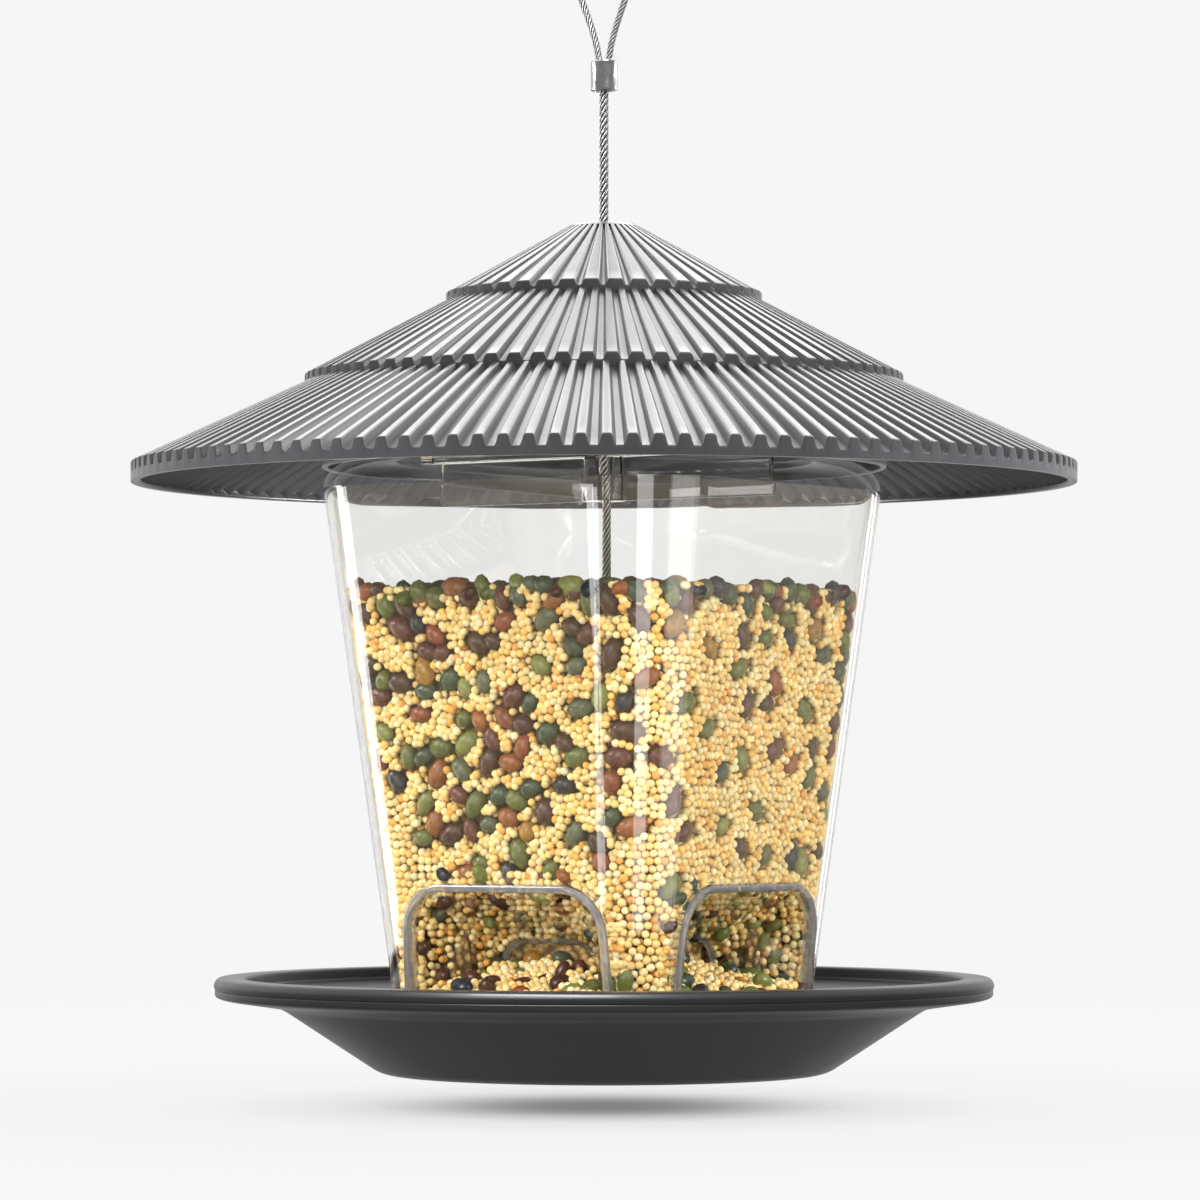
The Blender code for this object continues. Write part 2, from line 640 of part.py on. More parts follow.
def cable_and_fittings(feeder, steel, aluminium):
    """Cable, loop, the ferrule that joins them, and the stop and washer below the dish's centre."""
    feeder.add("hanging_cable", wire("hanging_cable", cable_points(), CABLE_RADIUS), steel)
    feeder.add("hanging_loop", wire("hanging_loop", loop_points(), LOOP_WIRE_RADIUS), steel)
    ferrule_mesh = cylinder("loop_ferrule", FERRULE_WIDTH / 2, FERRULE_BOTTOM, FERRULE_TOP, FERRULE_SIDES)
    ferrule_mesh.transform(Matrix.Diagonal((1.0, FERRULE_DEPTH / FERRULE_WIDTH, 1.0, 1.0)))
    ferrule = feeder.add("loop_ferrule", ferrule_mesh, aluminium)
    bevel = ferrule.modifiers.new("edges", "BEVEL")
    bevel.width = FERRULE_EDGE
    bevel.segments = 2
    grip = FERRULE_GRIP + GAP
    name = "ferrule_lower_bore"
    lower = cylinder(name, CABLE_RADIUS + GAP, FERRULE_BOTTOM - GAP, FERRULE_BOTTOM + grip, ROPE_BORE_SIDES)
    boolean(ferrule, feeder.helper(name, lower), "DIFFERENCE")
    for side in (-1, 1):
        name = f"ferrule_upper_bore_{'left' if side < 0 else 'right'}"
        upper = cylinder(name, LOOP_WIRE_RADIUS + GAP, FERRULE_TOP - grip, FERRULE_TOP + GAP, ROPE_BORE_SIDES)
        upper.transform(Matrix.Translation((side * LOOP_STRAND_OFFSET, 0, 0)))
        boolean(ferrule, feeder.helper(name, upper), "DIFFERENCE")
    stop_profile = [
        (CABLE_RADIUS + GAP, STOP_TOP),
        (STOP_RADIUS - STOP_EDGE, STOP_TOP),
        (STOP_RADIUS, STOP_TOP - STOP_EDGE),
        (STOP_RADIUS, STOP_BOTTOM + STOP_EDGE),
        (STOP_RADIUS - STOP_EDGE, STOP_BOTTOM),
        (CABLE_RADIUS + GAP, STOP_BOTTOM),
    ]
    feeder.add("cable_stop", turned("cable_stop", stop_profile, BORE_SIDES), aluminium)
    washer_top = WASHER_BOTTOM + WASHER_THICKNESS
    washer_profile = [
        (CABLE_BORE, washer_top),
        (WASHER_RADIUS, washer_top),
        (WASHER_RADIUS, WASHER_BOTTOM),
        (CABLE_BORE, WASHER_BOTTOM),
    ]
    feeder.add("stop_washer", turned("stop_washer", washer_profile, BORE_SIDES), steel)


def main():
    """Build the feeder."""
    feeder = Feeder()
    roof_grey = material("roof_grey", (0.17, 0.17, 0.18), 0.42)
    dish_grey = material("dish_charcoal", (0.065, 0.066, 0.07), 0.38)
    clear = material("clear_plastic", (0.97, 0.98, 0.98), 0.04, transmission=1.0)
    white = material("bushing_plastic", (0.1, 0.1, 0.1), 0.5)
    steel = material("galvanised_steel", (0.55, 0.56, 0.57), 0.35, metallic=1.0)
    aluminium = material("aluminium", (0.77, 0.77, 0.78), 0.28, metallic=1.0)
    dish(feeder, dish_grey)
    hopper(feeder, clear)
    port_hoods(feeder, clear)
    hopper_bridge(feeder, clear)
    roof(feeder, roof_grey)
    roof_bushing(feeder, white)
    cable_and_fittings(feeder, steel, aluminium)


main()
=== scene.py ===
"""Looks of a hanging seed feeder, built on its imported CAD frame.

Shapes are modelled in millimetres, with heights above the dish's underside. `Skin.build` turns them into
the row frame's metres, whose origin is the top of the hanging loop. Lamps and node trees are in metres.
"""
import json
import logging
import math
from collections.abc import Mapping, Sequence
from dataclasses import dataclass, field
from enum import Enum

import bmesh
import bpy
import numpy as np
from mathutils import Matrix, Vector

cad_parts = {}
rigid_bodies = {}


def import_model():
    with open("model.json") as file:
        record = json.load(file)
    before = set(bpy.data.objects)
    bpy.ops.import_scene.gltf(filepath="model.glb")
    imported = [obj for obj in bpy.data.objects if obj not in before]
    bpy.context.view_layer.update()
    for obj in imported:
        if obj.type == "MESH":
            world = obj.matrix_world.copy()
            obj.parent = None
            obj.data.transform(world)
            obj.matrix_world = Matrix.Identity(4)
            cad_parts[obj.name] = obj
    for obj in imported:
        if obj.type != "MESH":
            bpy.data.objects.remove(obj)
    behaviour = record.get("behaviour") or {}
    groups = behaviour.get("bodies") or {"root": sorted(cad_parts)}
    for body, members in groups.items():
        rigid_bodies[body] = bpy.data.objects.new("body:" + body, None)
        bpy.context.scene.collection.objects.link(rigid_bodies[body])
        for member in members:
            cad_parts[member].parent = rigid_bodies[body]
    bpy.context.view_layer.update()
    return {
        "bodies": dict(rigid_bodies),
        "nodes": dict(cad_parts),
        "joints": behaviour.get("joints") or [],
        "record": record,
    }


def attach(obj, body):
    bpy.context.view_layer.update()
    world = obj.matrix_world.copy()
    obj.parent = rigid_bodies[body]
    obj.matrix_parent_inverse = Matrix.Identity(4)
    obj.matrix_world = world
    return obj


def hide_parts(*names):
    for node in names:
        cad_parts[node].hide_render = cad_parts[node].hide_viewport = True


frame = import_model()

log = logging.getLogger("feeder")

MM = 0.001
LOOP_TOP = 286.0

Colour = tuple[float, float, float]
Range = tuple[float, float]
Source = bpy.types.NodeSocket | float | tuple[float, ...]
Shape = tuple[np.ndarray, np.ndarray]


class Body(Enum):
    """Bodies of the CAD model that pieces ride on."""

    FEEDER = "feeder_body"
    SLIDER = "roof_slider"
    SHELL = "roof_shell"


class Slot(Enum):
    """Material slots of the record."""

    ROOF = "roof_plastic"
    DISH = "dish_plastic"
    CLEAR = "clear_plastic"
    BUSHING = "bushing_plastic"
    ROPE = "steel_rope"
    FERRULE = "aluminium_ferrule"
    WASHER = "steel_washer"


class Face(Enum):
    """Faces of the hopper, in quarter turns from the one towards -Y."""

    FRONT = 0
    RIGHT = 1
    BACK = 2
    LEFT = 3

    @property
    def word(self) -> str:
        """The face's name as pieces carry it."""
        return self.name.lower()


# Node trees


class Nodes:
    """Short calls for one node tree."""

    def __init__(self, tree: bpy.types.NodeTree) -> None:
        self.tree = tree

    def add(self, kind: str, inputs: Mapping[str | int, Source] | None = None,
            **settings: object) -> bpy.types.Node:
        """Add a node.

        Args:
            kind: Blender's node type.
            inputs: What feeds its inputs, by their names or numbers.
            settings: Attributes of the node, set before the inputs are fed.

        Returns:
            The new node.
        """
        node = self.tree.nodes.new(kind)
        for key, value in settings.items():
            setattr(node, key, value)
        self.fill(node, inputs or {})
        return node

    def fill(self, node: bpy.types.Node, inputs: Mapping[str | int, Source]) -> None:
        """Link sockets to a node's inputs, or set the inputs to plain numbers, vectors or RGB colours."""
        for key, source in inputs.items():
            target = node.inputs[key]
            if isinstance(source, bpy.types.NodeSocket):
                self.tree.links.new(source, target)
            elif target.type == "RGBA":
                target.default_value = (*source, 1.0)
            else:
                target.default_value = source

    def place(self) -> bpy.types.NodeSocket:
        """The object's own coordinates."""
        return self.add("ShaderNodeTexCoord").outputs["Object"]

    def drawn_out(self, vector: bpy.types.NodeSocket, rate: float) -> bpy.types.NodeSocket:
        """A vector whose Z runs slower, so that what is textured by it is drawn out along Z."""
        return self.add("ShaderNodeMapping", {"Scale": (1.0, 1.0, rate), "Vector": vector}).outputs["Vector"]

    def noise(self, vector: bpy.types.NodeSocket, scale: float, detail: float = 3.0) -> bpy.types.NodeSocket:
        """Noise at a scale, in cycles per metre of the vector given."""
        node = self.add("ShaderNodeTexNoise", {"Scale": scale, "Detail": detail, "Vector": vector})
        return node.outputs["Fac"]

    def facing(self) -> bpy.types.NodeSocket:
        """How far the surface turns away: 0 square to the ray, 1 edge on."""
        return self.add("ShaderNodeLayerWeight", {"Blend": 0.5}).outputs["Facing"]

    def spread(self, value: bpy.types.NodeSocket, low: float, high: float,
               source: Range = (0.3, 0.7)) -> bpy.types.NodeSocket:
        """Map a value's range onto low to high."""
        ends = {"From Min": source[0], "From Max": source[1], "To Min": low, "To Max": high}
        return self.add("ShaderNodeMapRange", {**ends, "Value": value}).outputs["Result"]

    def mix(self, factor: Source, low: Source, high: Source, blend: str = "MIX") -> bpy.types.NodeSocket:
        """Mix two colours by a factor."""
        inputs = {"A": low, "B": high, "Factor": factor}
        return self.add("ShaderNodeMix", inputs, data_type="RGBA", blend_type=blend).outputs["Result"]

    def bump(self, shader: bpy.types.Node, height: bpy.types.NodeSocket, strength: float,
             distance: float) -> None:
        """Bump a shader's surface by a height, which stands for the distance in metres at 1."""
        node = self.add("ShaderNodeBump", {"Strength": strength, "Distance": distance, "Height": height})
        self.fill(shader, {"Normal": node.outputs["Normal"]})


def dimmed(colour: Colour, share: float) -> Colour:
    """A colour at a share of its brightness."""
    return tuple(share * value for value in colour)


def skin_group() -> bpy.types.NodeTree:
    """Shared group for moulded plastic: broad cloudiness and a fine satin grain.

    Returns:
        A group with outputs Cloud, 0 to 1 over some 30 mm, and Grain, 0 to 1 over some 0.4 mm.
    """
    name = "moulded_skin"
    if name in bpy.data.node_groups:
        return bpy.data.node_groups[name]
    group = bpy.data.node_groups.new(name, "ShaderNodeTree")
    group.interface.new_socket("Vector", in_out="INPUT", socket_type="NodeSocketVector")
    for output in ("Cloud", "Grain"):
        group.interface.new_socket(output, in_out="OUTPUT", socket_type="NodeSocketFloat")
    nodes = Nodes(group)
    vector = nodes.add("NodeGroupInput").outputs["Vector"]
    cloud, grain = nodes.noise(vector, 34.0), nodes.noise(vector, 2400.0, 2.0)
    nodes.add("NodeGroupOutput", {"Cloud": cloud, "Grain": grain})
    return group


@dataclass(frozen=True)
class Finish:
    """A finish, made once as a material."""

    name: str

    def material(self) -> bpy.types.Material:
        """The finish's material, made on first use."""
        if self.name in bpy.data.materials:
            return bpy.data.materials[self.name]
        material = bpy.data.materials.new(self.name)
        material.use_nodes = True
        nodes = Nodes(material.node_tree)
        self.paint(nodes, material.node_tree.nodes["Principled BSDF"])
        return material

    def paint(self, nodes: Nodes, shader: bpy.types.Node) -> None:
        """Set the shader and wire its textures."""
        raise NotImplementedError


@dataclass(frozen=True)
class MouldedPlastic(Finish):
    """Opaque injection-moulded plastic with a satin grain."""

    dark: Colour
    light: Colour
    roughness: Range
    grain: float = 0.05
    coat: float = 0.0

    def paint(self, nodes: Nodes, shader: bpy.types.Node) -> None:
        """Cloudy colour, cloudy roughness and a fine grain."""
        skin = nodes.add("ShaderNodeGroup", node_tree=skin_group())
        nodes.fill(skin, {"Vector": nodes.place()})
        cloud = skin.outputs["Cloud"]
        nodes.fill(shader, {
            "Base Color": nodes.mix(nodes.spread(cloud, 0.0, 1.0), self.dark, self.light),
            "Roughness": nodes.spread(cloud, *self.roughness),
            "Coat Weight": self.coat,
        })
        nodes.bump(shader, skin.outputs["Grain"], self.grain, 0.0002)


@dataclass(frozen=True)
class ClearPlastic(Finish):
    """Clear polystyrene that lets lamps through, with faint flow waves from moulding."""

    tint: Colour = (0.985, 0.99, 0.985)
    index: float = 1.32
    waves: float = 0.03
    transmission: float = 1.0
    roughness: float = 0.0
    grazing: Colour | None = None

    def paint(self, nodes: Nodes, shader: bpy.types.Node) -> None:
        """Plain transmission, shallow waves down the draw, clear shadows and, where an edge colour is given,
        painted shade edge on.
        """
        nodes.fill(shader, {
            "Base Color": self.tint,
            "Roughness": self.roughness,
            "IOR": self.index,
            "Transmission Weight": self.transmission,
            "Coat Weight": 1.0,
            "Coat Roughness": 0.0,
        })
        # painted shade: where an edge colour is given, the base colour darkens towards it as the surface
        # turns edge on
        if self.grazing is not None:
            edge = nodes.spread(nodes.facing(), 0.0, 1.0, (0.45, 0.85))
            nodes.fill(shader, {"Base Color": nodes.mix(edge, self.tint, self.grazing)})
        nodes.bump(shader, nodes.noise(nodes.drawn_out(nodes.place(), 0.12), 90.0, 1.0), self.waves, 0.001)
        path = nodes.add("ShaderNodeLightPath")
        clear = nodes.add("ShaderNodeBsdfTransparent", {"Color": (0.93, 0.94, 0.93)})
        mix = nodes.add("ShaderNodeMixShader", {
            "Fac": path.outputs["Is Shadow Ray"],
            1: shader.outputs["BSDF"],
            2: clear.outputs["BSDF"],
        })
        nodes.fill(nodes.tree.nodes["Material Output"], {"Surface": mix.outputs["Shader"]})


@dataclass(frozen=True)
class FilmPlastic(Finish):
    """Clear plastic where it curves over: seen through without bending, with a painted reflection, a grey
    veil that grows where it is seen edge on.
    """

    colour: Colour = (0.55, 0.56, 0.57)
    veil: Range = (0.0, 0.38)

    def paint(self, nodes: Nodes, shader: bpy.types.Node) -> None:
        """Cloudy gloss whose grey is a painted reflection, under an alpha that grows towards the edges."""
        cloud = nodes.spread(nodes.noise(nodes.place(), 60.0, 1.0), 0.0, 1.0)
        nodes.fill(shader, {
            "Base Color": nodes.mix(cloud, dimmed(self.colour, 0.9), self.colour),
            "Roughness": 0.06,
            # painted reflection: the grey grows more opaque as the surface turns edge on
            "Alpha": nodes.spread(nodes.facing(), *self.veil, (0.55, 1.0)),
        })


@dataclass(frozen=True)
class DrawnMetal(Finish):
    """Bare metal with faint draw lines along Z."""

    colour: Colour
    roughness: Range
    lines: float = 0.05

    def paint(self, nodes: Nodes, shader: bpy.types.Node) -> None:
        """Metal whose lines run along Z and whose polish is uneven."""
        place = nodes.place()
        streak = nodes.noise(nodes.drawn_out(place, 0.04), 2600.0, 2.0)
        cloud = nodes.noise(place, 500.0, 2.0)
        nodes.fill(shader, {
            "Metallic": 1.0,
            "Base Color": nodes.mix(nodes.spread(cloud, 0.0, 1.0), dimmed(self.colour, 0.86), self.colour),
            "Roughness": nodes.spread(cloud, *self.roughness),
        })
        nodes.bump(shader, streak, self.lines, 0.0001)


@dataclass(frozen=True)
class StrandSteel(Finish):
    """Galvanised steel strand: fine wires laid round it, with painted shade in between."""

    colour: Colour = (0.82, 0.82, 0.83)
    grease: Colour = (0.02, 0.02, 0.021)
    wires: float = 6.0

    def paint(self, nodes: Nodes, shader: bpy.types.Node) -> None:
        """Wires that follow the strand's own UV map, with painted shade between the wires and in the grooves
        between the strands.
        """
        along = nodes.add("ShaderNodeUVMap", uv_map="strand").outputs["UV"]
        wave = nodes.add("ShaderNodeTexWave", {"Scale": self.wires, "Distortion": 0.0, "Vector": along},
                         wave_type="BANDS", bands_direction="DIAGONAL")
        line = wave.outputs["Fac"]
        # painted shade: each wire band darkens towards its edge, between the wires
        wires = nodes.mix(nodes.spread(line, 0.0, 1.0, (0.0, 0.5)), dimmed(self.colour, 0.5), self.colour)
        groove = nodes.add("ShaderNodeAttribute", attribute_name="groove").outputs["Fac"]
        nodes.fill(shader, {
            "Metallic": 1.0,
            # painted shade: the side of each strand that faces the core is darkened
            "Base Color": nodes.mix(nodes.spread(groove, 0.0, 1.0, (0.05, 0.3)), wires, self.grease),
            "Roughness": nodes.spread(line, 0.42, 0.26, (0.0, 1.0)),
        })
        nodes.bump(shader, line, 0.4, 0.00006)


@dataclass(frozen=True)
class SeedCoat(Finish):
    """Seed coats, each seed in the colour of its own `tint` attribute."""

    roughness: Range
    mottle: float
    scale: float = 900.0

    def paint(self, nodes: Nodes, shader: bpy.types.Node) -> None:
        """The seed's own colour, mottled, with a fine uneven surface."""
        tint = nodes.add("ShaderNodeAttribute", attribute_name="tint").outputs["Color"]
        speck = nodes.noise(nodes.place(), self.scale)
        white = (1.0, 1.0, 1.0)
        mottled = nodes.mix(nodes.spread(speck, 0.0, 1.0), dimmed(white, 1.0 - self.mottle), white)
        nodes.fill(shader, {
            "Base Color": nodes.mix(1.0, tint, mottled, "MULTIPLY"),
            "Roughness": nodes.spread(speck, *self.roughness),
        })
        nodes.bump(shader, speck, 0.12, 0.0002)


@dataclass(frozen=True)
class SeedMass(Finish):
    """The heap behind the outermost seeds: rounded cells the size of a grain, with painted shade between
    them.
    """

    def paint(self, nodes: Nodes, shader: bpy.types.Node) -> None:
        """Voronoi cells in seed colours, with painted shade where they meet."""
        cells = nodes.add("ShaderNodeTexVoronoi", {"Scale": 480.0, "Vector": nodes.place()})
        middle = nodes.spread(cells.outputs["Distance"], 1.0, 0.0, (0.15, 0.7))
        nodes.fill(shader, {
            # painted shade: the colour darkens towards the cells' borders, as in crevices between grains
            "Base Color": nodes.mix(middle, (0.10, 0.055, 0.016), (0.58, 0.36, 0.12)),
            "Roughness": 0.7,
        })
        nodes.bump(shader, middle, 0.8, 0.0008)


@dataclass(frozen=True)
class SweepPaper(Finish):
    """Backdrop paper that glows a little, so that its shadows stay mild; its glow is dimmed close to the
    feeder as a painted shadow and lifted around it as painted light.
    """

    glow: float = 0.647
    middle_glow: float = 0.17
    reach: float = 0.078
    lifts: tuple[tuple[float, Range], ...] = ((0.07, (0.07, 0.15)), (0.033, (0.15, 0.8)))
    albedo: float = 0.3

    def paint(self, nodes: Nodes, shader: bpy.types.Node) -> None:
        """Matt paper whose glow is low in the middle as a painted shadow, full at the reach and lifted a
        little around it as painted light.
        """
        place = nodes.place()
        flat = nodes.add("ShaderNodeVectorMath", {0: place, 1: (1.0, 1.0, 0.0)}, operation="MULTIPLY")
        length = nodes.add("ShaderNodeVectorMath", {0: flat.outputs["Vector"]}, operation="LENGTH")
        away = length.outputs["Value"]
        # painted shadow: the glow falls to a share of itself towards the axis, under the feeder
        ends = {"From Max": self.reach, "To Min": self.middle_glow * self.glow, "To Max": self.glow}
        painted_shadow = nodes.add("ShaderNodeMapRange", {**ends, "Value": away}, interpolation_type="SMOOTHERSTEP")
        glow = painted_shadow.outputs["Result"]
        # painted light: the glow is lifted around the painted shadow, where the feeder shades the paper
        for step, span in self.lifts:
            lift = nodes.spread(away, step, 0.0, span)
            glow = nodes.add("ShaderNodeMath", {0: glow, 1: lift}, operation="ADD").outputs["Value"]
        cloud = nodes.spread(nodes.noise(place, 3.0, 1.0), 0.0, 1.0)
        nodes.fill(shader, {
            "Emission Color": (1.0, 1.0, 1.0),
            "Emission Strength": glow,
            "Base Color": nodes.mix(cloud, (self.albedo - 0.004,) * 3, (self.albedo,) * 3),
            "Roughness": 1.0,
            "Specular IOR Level": 0.0,
        })


ROOF_GREY = MouldedPlastic(
    "roof_grey",
    dark=(0.05, 0.05, 0.054),
    light=(0.062, 0.062, 0.067),
    roughness=(0.28, 0.36),
    grain=0.06,
    coat=0.1,
)
DISH_GREY = MouldedPlastic(
    "dish_charcoal",
    dark=(0.015, 0.015, 0.016),
    light=(0.019, 0.019, 0.021),
    roughness=(0.28, 0.38),
    grain=0.06,
    coat=0.1,
)
BUSHING_BLACK = MouldedPlastic(
    "bushing_black",
    dark=(0.018, 0.018, 0.019),
    light=(0.024, 0.024, 0.025),
    roughness=(0.4, 0.5),
)
CLEAR = ClearPlastic("clear_styrene")
# Darker clear for the frames and outlet lips: its grey tint and its darker colour edge on are painted shade.
SHADED_CLEAR = ClearPlastic(
    "thick_clear_rim",
    tint=(0.45, 0.46, 0.48),
    index=1.5,
    transmission=0.6,
    roughness=0.02,
    grazing=(0.05, 0.052, 0.056),
)
THIN_CLEAR = FilmPlastic("shoulder_clear")
ALUMINIUM = DrawnMetal("drawn_aluminium", colour=(0.84, 0.84, 0.85), roughness=(0.1, 0.2))
ZINC = DrawnMetal("zinc_plate", colour=(0.6, 0.61, 0.62), roughness=(0.25, 0.4), lines=0.1)
STRAND = StrandSteel("rope_strand")
MILLET = SeedCoat("millet_coat", roughness=(0.42, 0.6), mottle=0.14)
BEAN = SeedCoat("bean_coat", roughness=(0.22, 0.36), mottle=0.3, scale=500.0)
HEAP = SeedMass("seed_heap")


# Meshes


def normalised(vectors: np.ndarray) -> np.ndarray:
    """Vectors brought to length 1."""
    return vectors / np.linalg.norm(vectors, axis=-1, keepdims=True)


def circle(steps: int) -> np.ndarray:
    """Equal angles once round."""
    return np.linspace(0.0, math.tau, steps, endpoint=False)


def polar(radius: np.ndarray, angle: np.ndarray, height: np.ndarray) -> np.ndarray:
    """Points at radii, angles and heights that broadcast together: x = r cos, y = r sin."""
    radius, angle, height = np.broadcast_arrays(radius, angle, height)
    return np.stack([radius * np.cos(angle), radius * np.sin(angle), height], axis=-1)


def raised(flat: np.ndarray, height: np.ndarray | float) -> np.ndarray:
    """Points of (x, y), each given its height."""
    return np.concatenate([flat, np.broadcast_to(height, flat.shape[:-1])[..., None]], axis=-1)


def upright(line: np.ndarray, depth: float) -> np.ndarray:
    """A line of (x, z) at a depth along Y."""
    return np.insert(line, 1, depth, axis=1)


def run_length(line: np.ndarray) -> np.ndarray:
    """Length walked along a line from its first point to each of its points."""
    return np.concatenate([[0.0], np.cumsum(np.linalg.norm(np.diff(line, axis=0), axis=1))])


class Skin:
    """Gathers sheets of quads and caps into one mesh."""

    def __init__(self, name: str) -> None:
        self.name = name
        self.points: list[np.ndarray] = []
        self.faces: list[np.ndarray] = []
        self.count = 0

    def sheet(self, grid: np.ndarray, around: bool = False, along: bool = False) -> None:
        """Add a sheet over an array of points.

        Args:
            grid: Points of shape (rows, columns, 3).
            around: Join the last column to the first.
            along: Join the last row to the first.
        """
        rows, columns = grid.shape[:2]
        index = np.arange(rows * columns).reshape(rows, columns) + self.count
        if around:
            index = np.concatenate([index, index[:, :1]], axis=1)
        if along:
            index = np.concatenate([index, index[:1]], axis=0)
        quads = np.stack([index[:-1, :-1], index[:-1, 1:], index[1:, 1:], index[1:, :-1]], axis=-1)
        self.points.append(grid.reshape(-1, 3))
        self.faces.append(quads.reshape(-1, 4))
        self.count += rows * columns

    def turned(self, profile: np.ndarray, steps: int, closed: bool = True) -> None:
        """Turn a profile of (radius, height) round Z."""
        self.sheet(polar(profile[:, 0, None], circle(steps), profile[:, 1, None]), around=True, along=closed)

    def copies(self, unit: np.ndarray, faces: np.ndarray, places: np.ndarray, shapes: np.ndarray) -> None:
        """Add one shape many times.

        Args:
            unit: Points of the shape, (points, 3).
            faces: Its triangles, (faces, 3).
            places: Where each copy's middle goes, (copies, 3).
            shapes: A matrix for each copy, (copies, 3, 3).
        """
        points = np.einsum("nij,pj->npi", shapes, unit) + places[:, None, :]
        index = faces[None] + (np.arange(len(places)) * len(unit))[:, None, None] + self.count
        self.points.append(points.reshape(-1, 3))
        self.faces.append(index.reshape(-1, faces.shape[1]))
        self.count += points.shape[0] * points.shape[1]

    def cap(self, indices: Sequence[int]) -> None:
        """Close a ring of points that are already there with one face."""
        self.faces.append(np.array([indices]))

    def build(self, finish: Finish, crease: float = 35.0, outward: bool = True) -> bpy.types.Object:
        """Make the object.

        Args:
            finish: Its finish.
            crease: Edges sharper than this, in degrees, stay sharp.
            outward: Turn all faces outwards.

        Returns:
            The object, at the row frame's origin.
        """
        points = np.concatenate(self.points)
        points = (points - (0.0, 0.0, LOOP_TOP)) * MM
        mesh = bpy.data.meshes.new(self.name)
        sizes = np.concatenate([np.full(len(part), part.shape[1]) for part in self.faces])
        corners = np.concatenate([part.ravel() for part in self.faces])
        mesh.vertices.add(len(points))
        mesh.vertices.foreach_set("co", points.astype(np.float32).ravel())
        mesh.loops.add(len(corners))
        mesh.loops.foreach_set("vertex_index", corners.astype(np.int32))
        mesh.polygons.add(len(sizes))
        starts = np.concatenate([[0], np.cumsum(sizes)[:-1]])
        mesh.polygons.foreach_set("loop_start", starts.astype(np.int32))
        mesh.polygons.foreach_set("use_smooth", np.ones(len(sizes), dtype=bool))
        mesh.update(calc_edges=True)
        if outward:
            shape = bmesh.new()
            shape.from_mesh(mesh)
            bmesh.ops.recalc_face_normals(shape, faces=shape.faces)
            shape.to_mesh(mesh)
            shape.free()
        if crease < 180.0:
            mesh.set_sharp_from_angle(angle=math.radians(crease))
        mesh.materials.append(finish.material())
        thing = bpy.data.objects.new(self.name, mesh)
        bpy.context.scene.collection.objects.link(thing)
        return thing


def settle(thing: bpy.types.Object, body: Body,
           stands_for: Sequence[str] = ()) -> None:
    """Let a piece ride on a body, hide the CAD nodes that it stands for, and report it."""
    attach(thing, body.value)
    if stands_for:
        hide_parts(*stands_for)
    log.info("%s: %d faces on %s", thing.name, len(thing.data.polygons), body.value)


def carve(thing: bpy.types.Object, tool: bpy.types.Object, operation: str = "DIFFERENCE",
          crease: float = 35.0) -> None:
    """Cut a closed tool from a piece, or join it, and keep the piece's smooth shading."""
    modifier = thing.modifiers.new("carve", "BOOLEAN")
    modifier.solver = "EXACT"
    modifier.operation = operation
    modifier.object = tool
    depsgraph = bpy.context.evaluated_depsgraph_get()
    mesh = bpy.data.meshes.new_from_object(thing.evaluated_get(depsgraph))
    thing.modifiers.clear()
    old = thing.data
    thing.data = mesh
    mesh.name = thing.name
    bpy.data.meshes.remove(old)
    mesh.polygons.foreach_set("use_smooth", np.ones(len(mesh.polygons), dtype=bool))
    mesh.set_sharp_from_angle(angle=math.radians(crease))
    bpy.data.objects.remove(tool)


def rounded(corners: Sequence[Sequence[float]], radii: Sequence[float], steps: int = 5,
            closed: bool = True) -> np.ndarray:
    """Round a polygon's corners with arcs.

    Each corner gives way to a quadratic Bezier curve: its ends lie the corner's radius along both sides, but
    at most 0.48 of the side, and the corner is its handle.

    Args:
        corners: The (x, y) corners in order.
        radii: One rounding length for each corner; 0 leaves it sharp.
        steps: Pieces of each curve.
        closed: Join the last corner to the first.

    Returns:
        The outline as an array of points.
    """
    points = np.array(corners, dtype=float)
    outline: list[np.ndarray] = []
    total = len(points)
    t = np.linspace(0.0, 1.0, steps + 1)[:, None]
    for i, corner in enumerate(points):
        if radii[i] <= 0.0 or (not closed and i in (0, total - 1)):
            outline.append(corner[None])
            continue
        before, after = points[i - 1] - corner, points[(i + 1) % total] - corner
        reach = min(radii[i], 0.48 * np.linalg.norm(before), 0.48 * np.linalg.norm(after))
        start = corner + before / np.linalg.norm(before) * reach
        end = corner + after / np.linalg.norm(after) * reach
        outline.append((1 - t) ** 2 * start + 2 * t * (1 - t) * corner + t ** 2 * end)
    return np.concatenate(outline)


def square_ring(half: np.ndarray, corner: np.ndarray, share: np.ndarray) -> tuple[np.ndarray, np.ndarray]:
    """Points round a rounded square, by share of its length.

    A quarter starts at the middle of a side, runs along it, round the corner and to the middle of the next
    side. All three arguments broadcast together.

    Args:
        half: Half of the square's width.
        corner: Its corner radius.
        share: Place round the ring, 0 to 1, from the middle of the side towards +X.

    Returns:
        The (x, y) points and their outward normals.
    """
    half, corner, share = np.broadcast_arrays(half, corner, share)
    quarter = np.floor(4.0 * share)
    straight = half - corner
    arc = corner * math.pi / 2
    walk = (4.0 * share - quarter) * (2 * straight + arc)
    turn = np.clip((walk - straight) / corner, 0.0, math.pi / 2)
    past = np.clip(walk - straight - arc, 0.0, None)
    x = straight + corner * np.cos(turn) - past
    y = np.minimum(walk, straight) + corner * np.sin(turn)
    base = quarter * math.pi / 2
    cos, sin = np.cos(base), np.sin(base)
    points = np.stack([x * cos - y * sin, x * sin + y * cos], axis=-1)
    normals = np.stack([np.cos(turn + base), np.sin(turn + base)], axis=-1)
    return points, normals


def quarter_turn(points: np.ndarray, face: Face) -> np.ndarray:
    """Turn points about Z from the face towards -Y onto another face."""
    angle = face.value * math.pi / 2
    cos, sin = round(math.cos(angle)), round(math.sin(angle))
    return points @ np.array([[cos, sin, 0.0], [-sin, cos, 0.0], [0.0, 0.0, 1.0]])


# Rope and fittings


